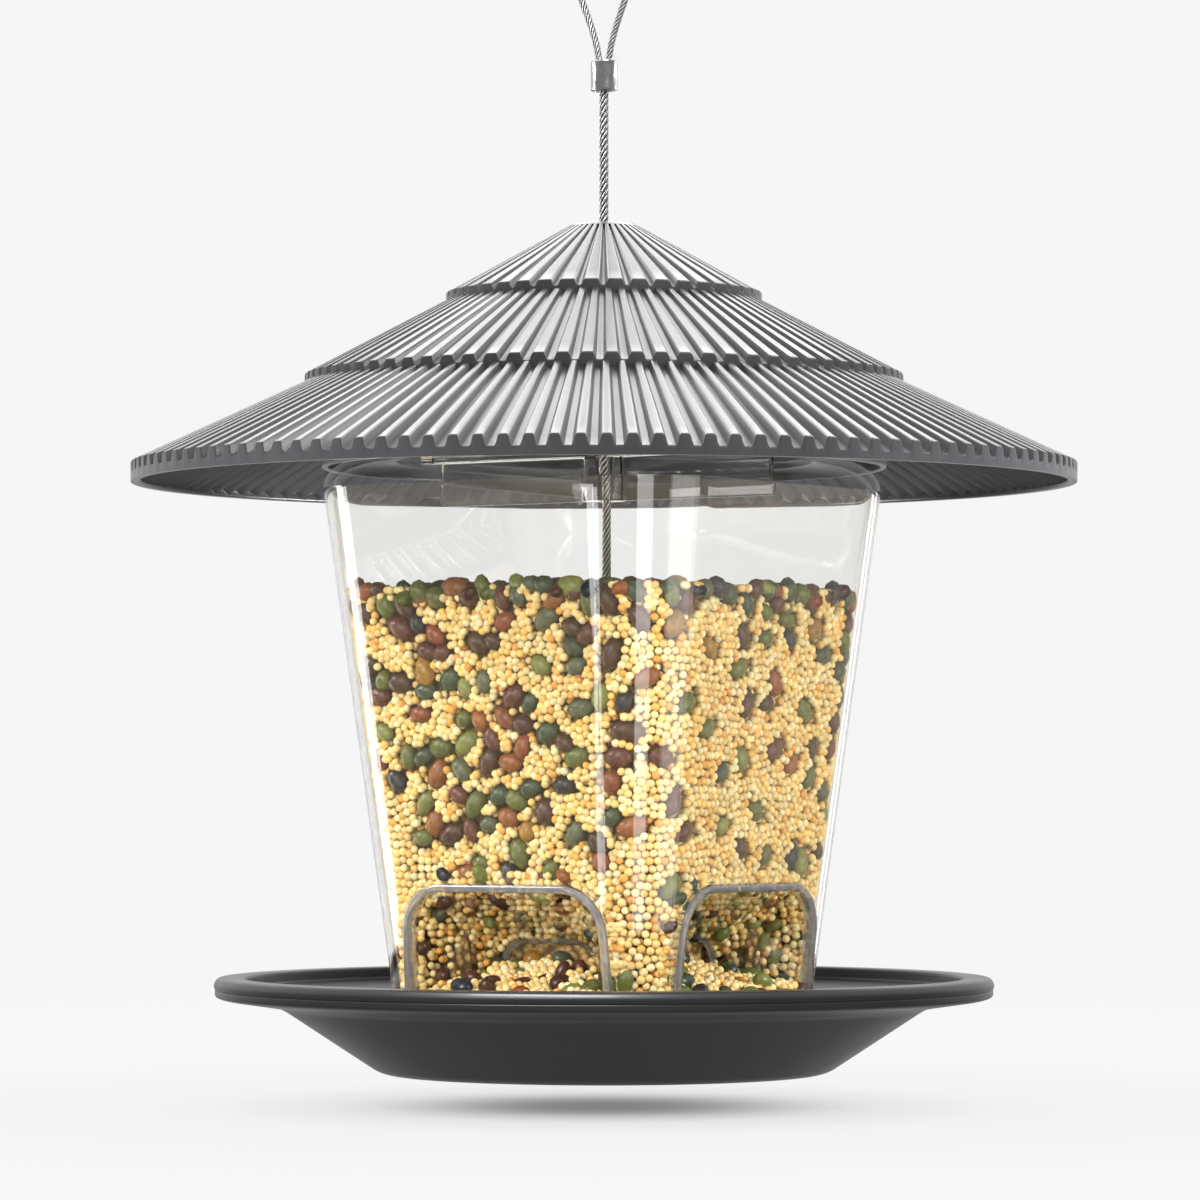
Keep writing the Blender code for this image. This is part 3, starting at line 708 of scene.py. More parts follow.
@dataclass
class TwistedRope:
    """Wire rope: strands laid round a path."""

    name: str
    radius: float
    strands: int
    pitch: float
    sides: int = 12
    swell: float = 1.04

    def path(self) -> np.ndarray:
        """Points of the rope's own line."""
        raise NotImplementedError

    def strand_grid(self, path: np.ndarray, number: int) -> np.ndarray:
        """One strand's tube.

        Its centre circles the path once in each pitch, at the rope's radius less its own; the tube's section
        is square to the helix. The frame is carried along a path that stays in the XZ plane.
        """
        tangent = normalised(np.gradient(path, axis=0))
        side = normalised(np.cross(tangent, (0.0, 1.0, 0.0)))
        other = np.cross(tangent, side)
        wedge = math.sin(math.pi / self.strands)
        own = self.radius * wedge / (1 + wedge) * self.swell
        turn = math.tau * (run_length(path) / self.pitch + number / self.strands)
        out = side * np.cos(turn)[:, None] + other * np.sin(turn)[:, None]
        centre = path + out * (self.radius - own)
        across = normalised(np.cross(normalised(np.gradient(centre, axis=0)), out))
        angle = circle(self.sides)[:, None]
        ring = out[:, None] * np.cos(angle) + across[:, None] * np.sin(angle)
        return centre[:, None] + ring * own

    def build(self) -> bpy.types.Object:
        """The rope as one mesh with a UV map along its strands."""
        path = self.path()
        skin = Skin(self.name)
        rows = len(path)
        for number in range(self.strands):
            skin.sheet(self.strand_grid(path, number), around=True)
            first = skin.count - rows * self.sides
            skin.cap(range(first + self.sides - 1, first - 1, -1))
            skin.cap(range(skin.count - self.sides, skin.count))
        rope = skin.build(STRAND, crease=60.0, outward=False)
        self.map_strands(rope, path)
        settle(rope, Body.FEEDER, (self.name,))
        return rope

    def map_strands(self, rope: bpy.types.Object, path: np.ndarray) -> None:
        """Add the UV map `strand` and the attribute `groove`.

        In the map, u counts strand pitches along the rope and v runs once round each strand. The attribute is
        1 on the side of a strand that faces the core, where the finish paints shade.
        """
        mesh = rope.data
        index = np.empty(len(mesh.loops), dtype=np.int32)
        mesh.loops.foreach_get("vertex_index", index)
        place = index % (len(path) * self.sides)
        along = run_length(path)[place // self.sides] / self.pitch
        round_it = (place % self.sides) / self.sides
        layer = mesh.uv_layers.new(name="strand")
        layer.data.foreach_set("uv", np.stack([along, round_it], axis=-1).astype(np.float32).ravel())
        side = np.arange(len(mesh.vertices)) % self.sides
        core = 0.5 - 0.5 * np.cos(math.tau * side / self.sides)
        groove = mesh.attributes.new("groove", "FLOAT", "POINT")
        groove.data.foreach_set("value", core.astype(np.float32))


@dataclass
class MainCable(TwistedRope):
    """The straight cable from the stop under the dish up into the ferrule."""

    bottom: float = 1.9
    top: float = 241.5
    per_pitch: int = 16

    def path(self) -> np.ndarray:
        """A straight line up Z."""
        count = int((self.top - self.bottom) / self.pitch * self.per_pitch)
        height = np.linspace(self.bottom, self.top, count + 1)
        return np.stack([0.0 * height, 0.0 * height, height], axis=-1)


@dataclass
class HangingLoop(TwistedRope):
    """The loop: two strands that part above the ferrule, and a round top."""

    low: float = 245.1
    offset: float = 1.35
    half_width: float = 10.0
    steps: int = 12
    per_step: int = 6

    def path(self) -> np.ndarray:
        """Up one side with an eased spread, half a circle over the top, and down the other side."""
        centre = LOOP_TOP - self.radius - self.half_width
        t = np.linspace(0.0, 1.0, self.steps + 1)
        side = np.stack([self.offset + (self.half_width - self.offset) * t * t * (3 - 2 * t),
                         self.low + (centre - self.low) * t], axis=-1)
        turn = math.pi * np.arange(1, self.steps) / self.steps
        top = np.stack([self.half_width * np.cos(turn), centre + self.half_width * np.sin(turn)], axis=-1)
        flat = np.concatenate([side, top, side[::-1] * (-1.0, 1.0)])
        line = np.stack([flat[:, 0], 0.0 * flat[:, 0], flat[:, 1]], axis=-1)
        share = np.arange((len(line) - 1) * self.per_step + 1) / self.per_step
        place = np.arange(len(line))
        return np.stack([np.interp(share, place, line[:, axis]) for axis in range(3)], axis=-1)


@dataclass
class Ferrule:
    """Crimped aluminium sleeve that holds the cable and both strands of the loop."""

    bottom: float = 239.5
    height: float = 7.6
    width: float = 6.9
    depth: float = 4.4
    edge: float = 0.45
    exponent: float = 2.6
    flutes: int = 6
    flute_share: float = 0.035
    wobble_share: float = 0.012
    recess: float = 0.5
    rows: int = 40
    columns: int = 96

    def build(self) -> bpy.types.Object:
        """An oval section, a superellipse, pressed by two jaws and rounded at both ends.

        The jaws leave shallow flutes: the radius dips by the cosine of the flutes' angle times a bell curve
        over the height. The ends turn in to a recess round the wires.
        """
        t = np.linspace(-1.0, 1.0, self.rows)
        height = self.bottom + self.height * (0.5 + 0.5 * np.sin(t * math.pi / 2))
        near = np.minimum(height - self.bottom, self.bottom + self.height - height)
        inset = self.edge * (1 - np.sqrt(np.clip(1 - (1 - np.clip(near / self.edge, 0, 1)) ** 2, 0, 1)))
        bell = np.exp(-((height - self.bottom - self.height / 2) / (0.3 * self.height)) ** 2)
        angle = circle(self.columns)
        power = 2.0 / self.exponent
        x = np.sign(np.cos(angle)) * np.abs(np.cos(angle)) ** power
        y = np.sign(np.sin(angle)) * np.abs(np.sin(angle)) ** power
        flute = self.flute_share * bell[:, None] * (0.5 + 0.5 * np.cos(self.flutes * angle))
        dip = 1.0 - flute - self.wobble_share * np.cos(3 * angle + 0.6)
        wide = (self.width / 2 - inset)[:, None] * dip * x
        deep = (self.depth / 2 - inset)[:, None] * dip * y
        sleeve = np.stack([wide, deep, height[:, None] + 0.0 * angle], axis=-1)
        lids = []
        for row, sink in ((sleeve[-1], -self.recess), (sleeve[0], self.recess)):
            lip = row * (0.86, 0.8, 1.0)
            bowl = row * (0.8, 0.7, 1.0) + (0.0, 0.0, sink)
            lids.append(np.stack([lip, bowl, row * (0.0, 0.0, 1.0) + (0.0, 0.0, sink)]))
        skin = Skin("loop_ferrule")
        skin.sheet(np.concatenate([lids[1][::-1], sleeve, lids[0]]), around=True)
        return skin.build(ALUMINIUM, crease=50.0)


@dataclass
class Turned:
    """A small turned fitting with rounded corners."""

    name: str
    corners: tuple[tuple[float, float], ...]
    radii: tuple[float, ...]
    finish: Finish
    steps: int = 64

    def build(self) -> bpy.types.Object:
        """Turn the rounded profile round Z."""
        skin = Skin(self.name)
        skin.turned(rounded(self.corners, self.radii), self.steps)
        return skin.build(self.finish)


# Roof


@dataclass
class Tier:
    """One ribbed tier of the roof."""

    start: tuple[float, float]
    edge: tuple[float, float]
    ribs: int
    depth: float
    flat: float
    drop: float
    per_rib: int
    rows: int

    def level(self, phase: np.ndarray) -> np.ndarray:
        """Height of a rib across it: 1 on its flat, a smooth flank, 0 in the groove."""
        from_middle = np.abs((phase + 0.5) % 1.0 - 0.5)
        flank = 0.15
        t = np.clip((from_middle - self.flat / 2) / flank, 0.0, 1.0)
        return 1.0 - t * t * (3 - 2 * t)

    def grid(self) -> np.ndarray:
        """The tier from its inner edge down to its lip.

        Height falls in a straight line with the radius and each groove is cut straight down into it, 0.55 of
        its depth at the start and, by the square of the share of the way, all of it at the edge. The edge
        turns down over a quarter circle into the lip.
        """
        angle = circle(self.ribs * self.per_rib)
        level = self.level(angle * self.ribs / math.tau)
        edge_round = 0.55
        first, last = self.start[0], self.edge[0] - edge_round
        radius = first + (last - first) * np.linspace(0.0, 1.0, self.rows)
        fall = (self.start[1] - self.edge[1]) / (self.edge[0] - first)
        height = self.start[1] - fall * (radius - first)
        turn = np.radians([25.0, 50.0, 72.0, 90.0])
        radius = np.concatenate([radius, last + edge_round * np.sin(turn), [self.edge[0]]])
        bend = self.edge[1] + fall * edge_round - edge_round * (1 - np.cos(turn))
        height = np.concatenate([height, bend, [self.edge[1] - self.drop]])
        depth = self.depth * (0.55 + 0.45 * np.clip((radius - first) / (last - first), 0.0, 1.0) ** 2)
        depth[-1] = 0.0
        return polar(radius[:, None], angle, height[:, None] - depth[:, None] * (1.0 - level))


@dataclass
class Roof:
    """Three ribbed tiers, a rim band, ribbed eaves and a smooth collar that seats on the hopper's neck."""

    crown: tuple[float, float] = (7.4, 207.2)
    bore: float = 3.4
    radii: tuple[float, float, float] = (38.5, 72.9, 115.0)
    edges: tuple[float, float, float] = (190.1, 170.0, 148.5)
    ribs: tuple[int, int, int] = (42, 80, 124)
    depths: tuple[float, float, float] = (1.5, 1.8, 2.7)
    flats: tuple[float, float, float] = (0.56, 0.46, 0.36)
    step: float = 2.4
    band: float = 2.4
    eaves_drop: float = 3.8
    eaves_depth: float = 1.4
    rim_width: float = 2.4
    wall: float = 1.8
    collar: float = 68.8
    collar_wall: float = 1.6
    collar_bottom: float = 147.4
    seat: tuple[float, float, float] = (48.7, 154.1, 155.7)

    def tiers(self) -> list[Tier]:
        """The three tiers from the crown outwards."""
        run_in = 1.6
        fall = (self.crown[1] - self.edges[0]) / (self.radii[0] - self.crown[0])
        starts = [(self.crown[0] + run_in, self.crown[1] - fall * run_in)]
        starts += [(self.radii[i] - 0.6, self.edges[i] - self.step + 0.8) for i in (0, 1)]
        drops = (self.step + 0.9, self.step + 1.2, self.depths[2] + self.band - 0.4)
        per_rib = (16, 14, 14)
        rows = (8, 10, 12)
        return [
            Tier(starts[i], (self.radii[i], self.edges[i]), self.ribs[i], self.depths[i], self.flats[i],
                 drops[i], per_rib[i], rows[i])
            for i in range(3)
        ]

    def under(self, radius: np.ndarray | float) -> np.ndarray | float:
        """Height of the eaves' underside at a radius."""
        fall = (self.edges[1] - self.step - self.edges[2]) / (self.radii[2] - self.radii[1])
        return self.edges[2] + fall * (self.radii[2] - radius) - self.eaves_drop

    def rim(self) -> np.ndarray:
        """The rim's foot and inner side as a profile, with a rounded lip."""
        outer, bottom = self.radii[2], self.edges[2] - self.depths[2] - self.band + 0.4
        inner = outer - self.rim_width
        corners = [
            (outer, bottom + 0.02),
            (outer - 0.02, bottom),
            (inner, bottom),
            (inner, self.under(inner)),
        ]
        return rounded(corners, (0.0, 0.3, 0.7, 0.0), closed=False)

    def eaves(self) -> np.ndarray:
        """Underside of the eaves: ribs like a soft zigzag that run from the rim in to the collar."""
        angle = circle(self.ribs[2] * 8)
        phase = (angle * self.ribs[2] / math.tau) % 1.0
        saw = np.clip(1.15 * (1.0 - np.abs(2.0 * phase - 1.0)), 0.0, 1.0)
        radius = np.linspace(self.radii[2] - self.rim_width, self.collar + 0.2, 12)[:, None]
        return polar(radius, angle, self.under(radius) - self.eaves_depth * (1.0 - saw))

    def inside(self) -> np.ndarray:
        """Profile from the eaves over the collar and seat ring, up the smooth cone, to bore and crown."""
        collar_inner = self.collar - self.collar_wall
        seat_inner, seat_low, seat_high = self.seat
        tier_height = self.edges[0] - self.step - self.depths[1] - self.wall
        crown_under = self.crown[1] - self.wall
        corners = [
            (self.collar, self.under(self.collar)),
            (self.collar, self.collar_bottom),
            (collar_inner, self.collar_bottom),
            (collar_inner, seat_low),
            (seat_inner, seat_low),
            (seat_inner, seat_high),
            (collar_inner, seat_high),
            (collar_inner, self.under(collar_inner)),
            (self.radii[0] - self.wall, tier_height),
            (self.crown[0], crown_under),
            (self.bore, crown_under),
            (self.bore, self.crown[1]),
            (self.crown[0], self.crown[1]),
            (self.crown[0] + 1.6, self.crown[1] - 0.87),
        ]
        radii = (0.0, 0.5, 0.5, 0.6, 0.3, 0.3, 0.6, 0.8, 2.0, 1.0, 0.4, 0.5, 0.9, 0.0)
        return rounded(corners, radii, closed=False)

    def build(self) -> bpy.types.Object:
        """All sheets as one moulded shell."""
        skin = Skin("roof_shell_skin")
        for tier in self.tiers():
            skin.sheet(tier.grid(), around=True)
        skin.turned(self.rim(), 496, closed=False)
        skin.sheet(self.eaves(), around=True)
        skin.turned(self.inside(), 168, closed=False)
        return skin.build(ROOF_GREY, crease=42.0)


# Dish


@dataclass
class Dish:
    """Round dish with a conical wall, a wide rolled rim, a raised centre, a seat rib and drain holes."""

    radius: float = 95.0
    rim_top: float = 23.6
    rim_bottom: float = 18.4
    rim_width: float = 7.8
    cone: tuple[float, float] = (77.8, 16.0)
    edge: tuple[float, float] = (55.4, 0.8)
    floor_radius: float = 52.6
    wall: float = 2.3
    boss: tuple[float, float] = (8.4, 12.4)
    cone_foot: float = 30.0
    bore: float = 1.6
    hole: float = 1.6
    hole_circle: float = 33.5
    holes: int = 8
    ring: tuple[float, float] = (30.5, 37.0)
    rib: tuple[float, float, float, float] = (38.6, 11.7, 3.2, 1.8)

    def upper(self) -> np.ndarray:
        """Profile from the pierced ring's outer edge up the inside, over the rim and down underneath."""
        inner = self.cone[0] - 1.3
        rim_inner = self.radius - self.rim_width
        corners = [
            (self.ring[1], self.wall),
            (self.edge[0] + 1.3, self.wall),
            (inner, self.cone[1] + self.wall),
            (rim_inner, self.rim_top - 2.8),
            (rim_inner + 0.2, self.rim_top),
            (self.radius - 0.9, self.rim_top - 0.05),
            (self.radius, self.rim_top - 1.7),
            (self.radius - 0.25, self.rim_top - 2.75),
            (self.radius - 0.55, self.rim_top - 2.9),
            (self.radius - 0.3, self.rim_top - 3.1),
            (self.radius - 0.35, self.rim_bottom + 0.6),
            (self.radius - 2.0, self.rim_bottom),
            (self.cone[0] + 1.2, self.cone[1] + 0.35),
            (self.edge[0], self.edge[1]),
            (self.floor_radius, 0.0),
            (self.ring[1], 0.0),
        ]
        radii = (0.0, 3.0, 2.0, 0.5, 0.9, 1.1, 1.1, 0.3, 0.2, 0.3, 0.9, 1.4, 2.2, 2.4, 2.0, 0.0)
        return rounded(corners, radii, closed=False)

    def centre(self) -> np.ndarray:
        """Profile of the raised centre, from the ring's inner edge over the boss and back underneath."""
        under = self.boss[1] - self.wall
        corners = [
            (self.ring[0], self.wall),
            (self.cone_foot - 0.5, self.wall),
            (self.boss[0], self.boss[1]),
            (self.bore, self.boss[1]),
            (self.bore, under),
            (self.boss[0] - 0.9, under),
            (self.cone_foot - 2.0, 0.0),
            (self.ring[0], 0.0),
        ]
        return rounded(corners, (0.0, 1.2, 1.6, 0.3, 0.3, 1.6, 1.2, 0.0), closed=False)

    def pierced_ring(self, skin: Skin) -> None:
        """The flat ring with the drain holes.

        Each sector runs from a hole's circle out to the sector's outline, in straight rays to points at equal
        shares of both.
        """
        count = 32
        inner, outer = self.ring
        half = math.pi / self.holes
        side = count // 4
        t = np.linspace(-1.0, 1.0, side, endpoint=False)
        outline = [
            np.stack([np.full(side, outer), t * half], axis=-1),
            np.stack([outer + (inner - outer) * (t + 1) / 2, np.full(side, half)], axis=-1),
            np.stack([np.full(side, inner), -t * half], axis=-1),
            np.stack([inner + (outer - inner) * (t + 1) / 2, np.full(side, -half)], axis=-1),
        ]
        reach, bearing = np.concatenate(outline).T
        edge = np.stack([reach * np.cos(bearing), reach * np.sin(bearing)], axis=-1)
        turn = circle(count) - math.pi / 4
        rim = self.hole * np.stack([np.cos(turn), np.sin(turn)], axis=-1) + (self.hole_circle, 0.0)
        sector = np.stack([edge, 0.5 * (edge + rim), rim])
        for number in range(self.holes):
            middle = math.pi / 8 + math.tau * number / self.holes
            cos, sin = math.cos(middle), math.sin(middle)
            flat = sector @ np.array([[cos, sin], [-sin, cos]])
            skin.sheet(np.concatenate([raised(flat, self.wall), raised(flat, 0.0)[::-1]]), around=True)

    def seat_rib(self, skin: Skin) -> None:
        """The square rib round the hopper's foot, with rounded top edges."""
        half, corner, high, thick = self.rib
        section = rounded([(0.0, self.wall - 0.4), (0.2, self.wall + high), (thick + 0.2, self.wall + high),
                           (thick + 0.1, self.wall - 0.4)], (0.0, 0.5, 0.5, 0.0))
        share = np.arange(160) / 160
        flat, _ = square_ring(half + section[:, 0, None], corner + section[:, 0, None], share)
        skin.sheet(raised(flat, section[:, 1, None]), around=True, along=True)

    def build(self) -> bpy.types.Object:
        """Turned parts, pierced ring and seat rib as one piece."""
        skin = Skin("dish_skin")
        skin.turned(self.upper(), 224, closed=False)
        skin.turned(self.centre(), 128, closed=False)
        self.pierced_ring(skin)
        self.seat_rib(skin)
        return skin.build(DISH_GREY, crease=40.0)


# Hopper


@dataclass
class Arch:
    """Outline of a port: splayed legs, a flat top and rounded upper corners."""

    width: float
    top: float
    corner: float
    splay: float
    bottom: float = 8.0

    def line(self, out: float = 0.0, steps: int = 12) -> np.ndarray:
        """Points from the foot of the right leg over the top to the foot of the left one.

        Args:
            out: How far outside the outline the line runs.
            steps: Pieces of each leg, corner and half of the top.

        Returns:
            The (x, z) points, the same count for every outline.
        """
        half, top, corner = self.width / 2 + out, self.top + out, self.corner + out
        turn = np.linspace(0.0, math.pi / 2, steps + 1)[1:]
        leg_top = top - corner
        t = np.linspace(0.0, 1.0, steps + 1)
        leg = np.stack([half + self.splay * (1 - t), self.bottom + (leg_top - self.bottom) * t], axis=-1)
        bend = np.stack([half - corner * (1 - np.cos(turn)), top - corner * (1 - np.sin(turn))], axis=-1)
        flat = np.stack([(half - corner) * (1 - t[1:]), np.full(steps, top)], axis=-1)
        right = np.concatenate([leg, bend, flat])
        return np.concatenate([right, right[-2::-1] * (-1.0, 1.0)])

    def towards(self, other: "Arch", share: float) -> "Arch":
        """The outline part of the way to another one."""
        def between(a: float, b: float) -> float:
            return a + (b - a) * share
        return Arch(between(self.width, other.width), between(self.top, other.top),
                    between(self.corner, other.corner), between(self.splay, other.splay), self.bottom)

    def within(self, inset: float) -> "Arch":
        """The outline at an inset inside this one."""
        return Arch(self.width - 2 * inset, self.top - inset, self.corner - inset, self.splay, self.bottom)


@dataclass
class Hopper:
    """Clear tapered vessel: a rounded square with a shoulder, a round neck, four ports and four hoods."""

    foot: tuple[float, float, float] = (38.3, 11.4, 2.6)
    top: tuple[float, float, float] = (54.5, 20.0, 142.2)
    shoulder_top: float = 151.0
    neck_top: float = 153.8
    mouth: float = 52.7
    wall: float = 2.0
    port: Arch = field(default_factory=lambda: Arch(59.0, 46.8, 12.0, 0.8))
    outlet: Arch = field(default_factory=lambda: Arch(28.8, 31.1, 7.5, 0.0))
    frame_width: float = 1.9
    frame_proud: float = 1.0
    hood_wall: float = 1.5
    hood_depth: float = 17.0
    chamfer: float = 0.35
    port_gap: float = 0.3
    notch_half: float = 4.8
    notch_bottom: float = 149.8

    @property
    def taper(self) -> float:
        """How fast the walls lean out, as a slope."""
        return (self.top[0] - self.foot[0]) / (self.top[2] - self.foot[2])

    def half(self, height: np.ndarray | float) -> np.ndarray | float:
        """Half width of the outside at a height."""
        return self.foot[0] + self.taper * (height - self.foot[2])

    def corner(self, height: np.ndarray | float) -> np.ndarray | float:
        """Corner radius of the outside at a height."""
        slope = (self.top[1] - self.foot[1]) / (self.top[2] - self.foot[2])
        return self.foot[1] + slope * (height - self.foot[2])

    def rings(self, inset: float, count: int = 224) -> np.ndarray:
        """Rings from the foot to the neck, at an inset behind the outer face.

        Up to the shoulder they are rounded squares. Over the shoulder, along a quarter ellipse, they blend
        into the mouth's circle by 1 - cos of the turn. The lip is chamfered.
        """
        share = np.arange(count) / count
        height = np.linspace(self.foot[2], self.top[2], 20)[:, None]
        flat, _ = square_ring(self.half(height) - inset, self.corner(height) - inset, share)
        turn = np.radians(np.linspace(0.0, 90.0, 19)[1:])[:, None]
        reach = np.linalg.norm(flat[-1], axis=1)
        mouth = self.mouth - inset
        scale = (reach + (mouth - reach) * (1 - np.cos(turn))) / reach
        rise = self.top[2] + (self.shoulder_top - inset - self.top[2]) * np.sin(turn)
        shoulder = raised(flat[-1] * scale[..., None], rise)
        neck = raised(shoulder[-1:, :, :2], self.neck_top - self.chamfer)
        widen = (mouth + (self.chamfer if inset else -self.chamfer)) / mouth
        lip = raised(neck[..., :2] * widen, self.neck_top)
        return np.concatenate([raised(flat, height), shoulder, neck, lip])

    def prism(self, name: str, outline: np.ndarray, near: float, far: float) -> Skin:
        """Closed prism of an outline, from near to far behind the wall's outer face, on all four faces."""
        skin = Skin(name)
        count = len(outline)
        rings = np.stack([upright(outline, depth) for depth in (near, far)])
        for face in Face:
            first = skin.count
            skin.sheet(self.on_wall(rings, face), around=True)
            skin.cap(range(first, first + count))
            skin.cap(range(first + 2 * count - 1, first + count - 1, -1))
        return skin

    def on_wall(self, points: np.ndarray, face: Face) -> np.ndarray:
        """Lean points modelled upright at Y = 0, with Y as the depth, onto a wall."""
        middle = (self.port.top + self.port.bottom) / 2
        lean = math.atan(self.taper)
        y, z = points[..., 1], points[..., 2] - middle
        placed = np.stack([
            points[..., 0],
            y * math.cos(lean) - z * math.sin(lean) - self.half(middle),
            y * math.sin(lean) + z * math.cos(lean) + middle,
        ], axis=-1)
        return quarter_turn(placed, face)

    def build_shell(self) -> bpy.types.Object:
        """The vessel, with its ports and the bridge's notches cut."""
        skin = Skin("hopper_skin")
        skin.sheet(np.concatenate([self.rings(0.0), self.rings(self.wall)[::-1]]), around=True, along=True)
        shell = skin.build(CLEAR, crease=30.0)
        ports = self.prism("port_cut", self.port.line(self.port_gap), -6.0, 6.0)
        carve(shell, ports.build(CLEAR), crease=30.0)
        notch = Skin("notch_cut")
        long, half = 60.0, self.notch_half
        flat = np.array([(-long, -half), (long, -half), (long, half), (-long, half)])
        heights = (self.notch_bottom, self.notch_bottom + 8.0)
        notch.sheet(np.stack([raised(flat, height) for height in heights]), around=True)
        notch.cap((0, 1, 2, 3))
        notch.cap((7, 6, 5, 4))
        carve(shell, notch.build(CLEAR), crease=30.0)
        border = (self.top[2] + 0.2 - LOOP_TOP) * MM
        above = [face.center.z > border for face in shell.data.polygons]
        self.finish_faces(shell, THIN_CLEAR, np.array(above))
        return shell

    @staticmethod
    def finish_faces(thing: bpy.types.Object, finish: Finish, chosen: np.ndarray) -> None:
        """Give some faces of a piece a second finish."""
        thing.data.materials.append(finish.material())
        thing.data.polygons.foreach_set("material_index", chosen.astype(np.int32))

    def hood_grid(self) -> np.ndarray:
        """One hood: a closed section swept over the arch.

        The section's points are (depth behind the wall's outer face, distance outside the inner arch). Past
        the wall, the arch itself shrinks in a straight line to the outlet's.
        """
        frame, wall = self.frame_width, self.hood_wall
        end = self.wall + self.hood_depth
        corners = [
            (-self.frame_proud, 0.0), (-self.frame_proud, frame), (self.wall, frame), (end, wall), (end, 0.0),
            (self.wall, 0.0),
        ]
        section = rounded(corners, (0.75, 0.75, 0.8, 0.6, 0.6, 0.8), 4)
        closed = np.concatenate([section, section[:1]])
        longest = 2.2
        fine = []
        for a, b in zip(closed[:-1], closed[1:]):
            pieces = max(1, int(np.linalg.norm(b - a) / longest))
            fine.append(a + (b - a) * (np.arange(pieces) / pieces)[:, None])
        inner_port, inner_outlet = self.port.within(frame), self.outlet.within(wall)
        columns = []
        for depth, out in np.concatenate(fine):
            share = min(max((depth - self.wall) / self.hood_depth, 0.0), 1.0)
            columns.append(upright(inner_port.towards(inner_outlet, share).line(out), depth))
        return np.stack(columns)

    def build_hood(self, face: Face) -> bpy.types.Object:
        """One clear hood on its face, with painted shade in the darker clear of its frame and of its outlet's
        lip.
        """
        grid = self.hood_grid()
        skin = Skin(f"hood_{face.word}")
        skin.sheet(self.on_wall(grid, face), along=True)
        rows, columns = grid.shape[:2]
        skin.cap([row * columns for row in range(rows)])
        skin.cap([row * columns + columns - 1 for row in range(rows)][::-1])
        hood = skin.build(CLEAR, crease=50.0)
        depth = grid[:, 0, 1]
        deep, shallow = np.maximum(depth, np.roll(depth, -1)), np.minimum(depth, np.roll(depth, -1))
        # painted shade: the frame and the outlet's lip get the darker clear finish
        thick = (deep < self.wall + 0.3) | (shallow > self.wall + self.hood_depth - 0.7)
        caps = np.zeros(len(hood.data.polygons) - rows * (columns - 1), dtype=bool)
        self.finish_faces(hood, SHADED_CLEAR, np.concatenate([np.repeat(thick, columns - 1), caps]))
        return hood


@dataclass
class Bridge:
    """Clear bar across the mouth: a tab plate, a web under it and a hub round the cable."""

    half_length: float = 52.7
    half_width: float = 4.5
    plate: tuple[float, float] = (150.1, 152.1)
    web_half: float = 0.8
    web_reach: float = 48.8
    bottom: float = 139.6
    hub: float = 5.2
    bore: float = 1.6

    def bar(self, name: str, half_width: float, low: float, high: float, reach: float, edge: float) -> Skin:
        """A bar along X with a rounded section and slightly drawn-in ends."""
        corners = [(-half_width, low), (half_width, low), (half_width, high), (-half_width, high)]
        section = rounded(corners, (edge,) * 4, 4)
        middle = np.array([0.0, (low + high) / 2])
        inner = np.linspace(-reach + 2, reach - 2, 25)
        x = np.concatenate([[-reach, -reach + edge], inner, [reach - edge, reach]])
        shrink = np.ones(len(x))
        shrink[[0, -1]] = 1.0 - edge / half_width
        flat = middle + (section - middle) * shrink[:, None, None]
        grid = np.concatenate([np.broadcast_to(x[:, None, None], flat.shape[:2] + (1,)), flat], axis=-1)
        skin = Skin(name)
        skin.sheet(grid, around=True)
        count = len(section)
        skin.cap(range(count))
        skin.cap(range(skin.count - 1, skin.count - count - 1, -1))
        return skin

    def build(self) -> bpy.types.Object:
        """Plate, web and hub joined, then bored for the cable."""
        plate = self.bar("bridge_skin", self.half_width, *self.plate, self.half_length, 0.5).build(CLEAR)
        web = self.bar("web", self.web_half, self.bottom, self.plate[1] - 0.8, self.web_reach, 0.45)
        carve(plate, web.build(CLEAR), "UNION")
        hub_top = self.plate[1] - 0.8
        corners = [(self.bore, self.bottom), (self.hub, self.bottom), (self.hub, hub_top),
                   (self.bore, hub_top)]
        hub = Skin("hub")
        hub.turned(rounded(corners, (0.3, 0.6, 0.3, 0.3)), 64)
        carve(plate, hub.build(CLEAR), "UNION")
        drill = Skin("drill")
        drill.turned(np.array([(1e-3, 130.0), (self.bore, 130.0), (self.bore, 160.0), (1e-3, 160.0)]), 48)
        carve(plate, drill.build(CLEAR))
        return plate


# Seed


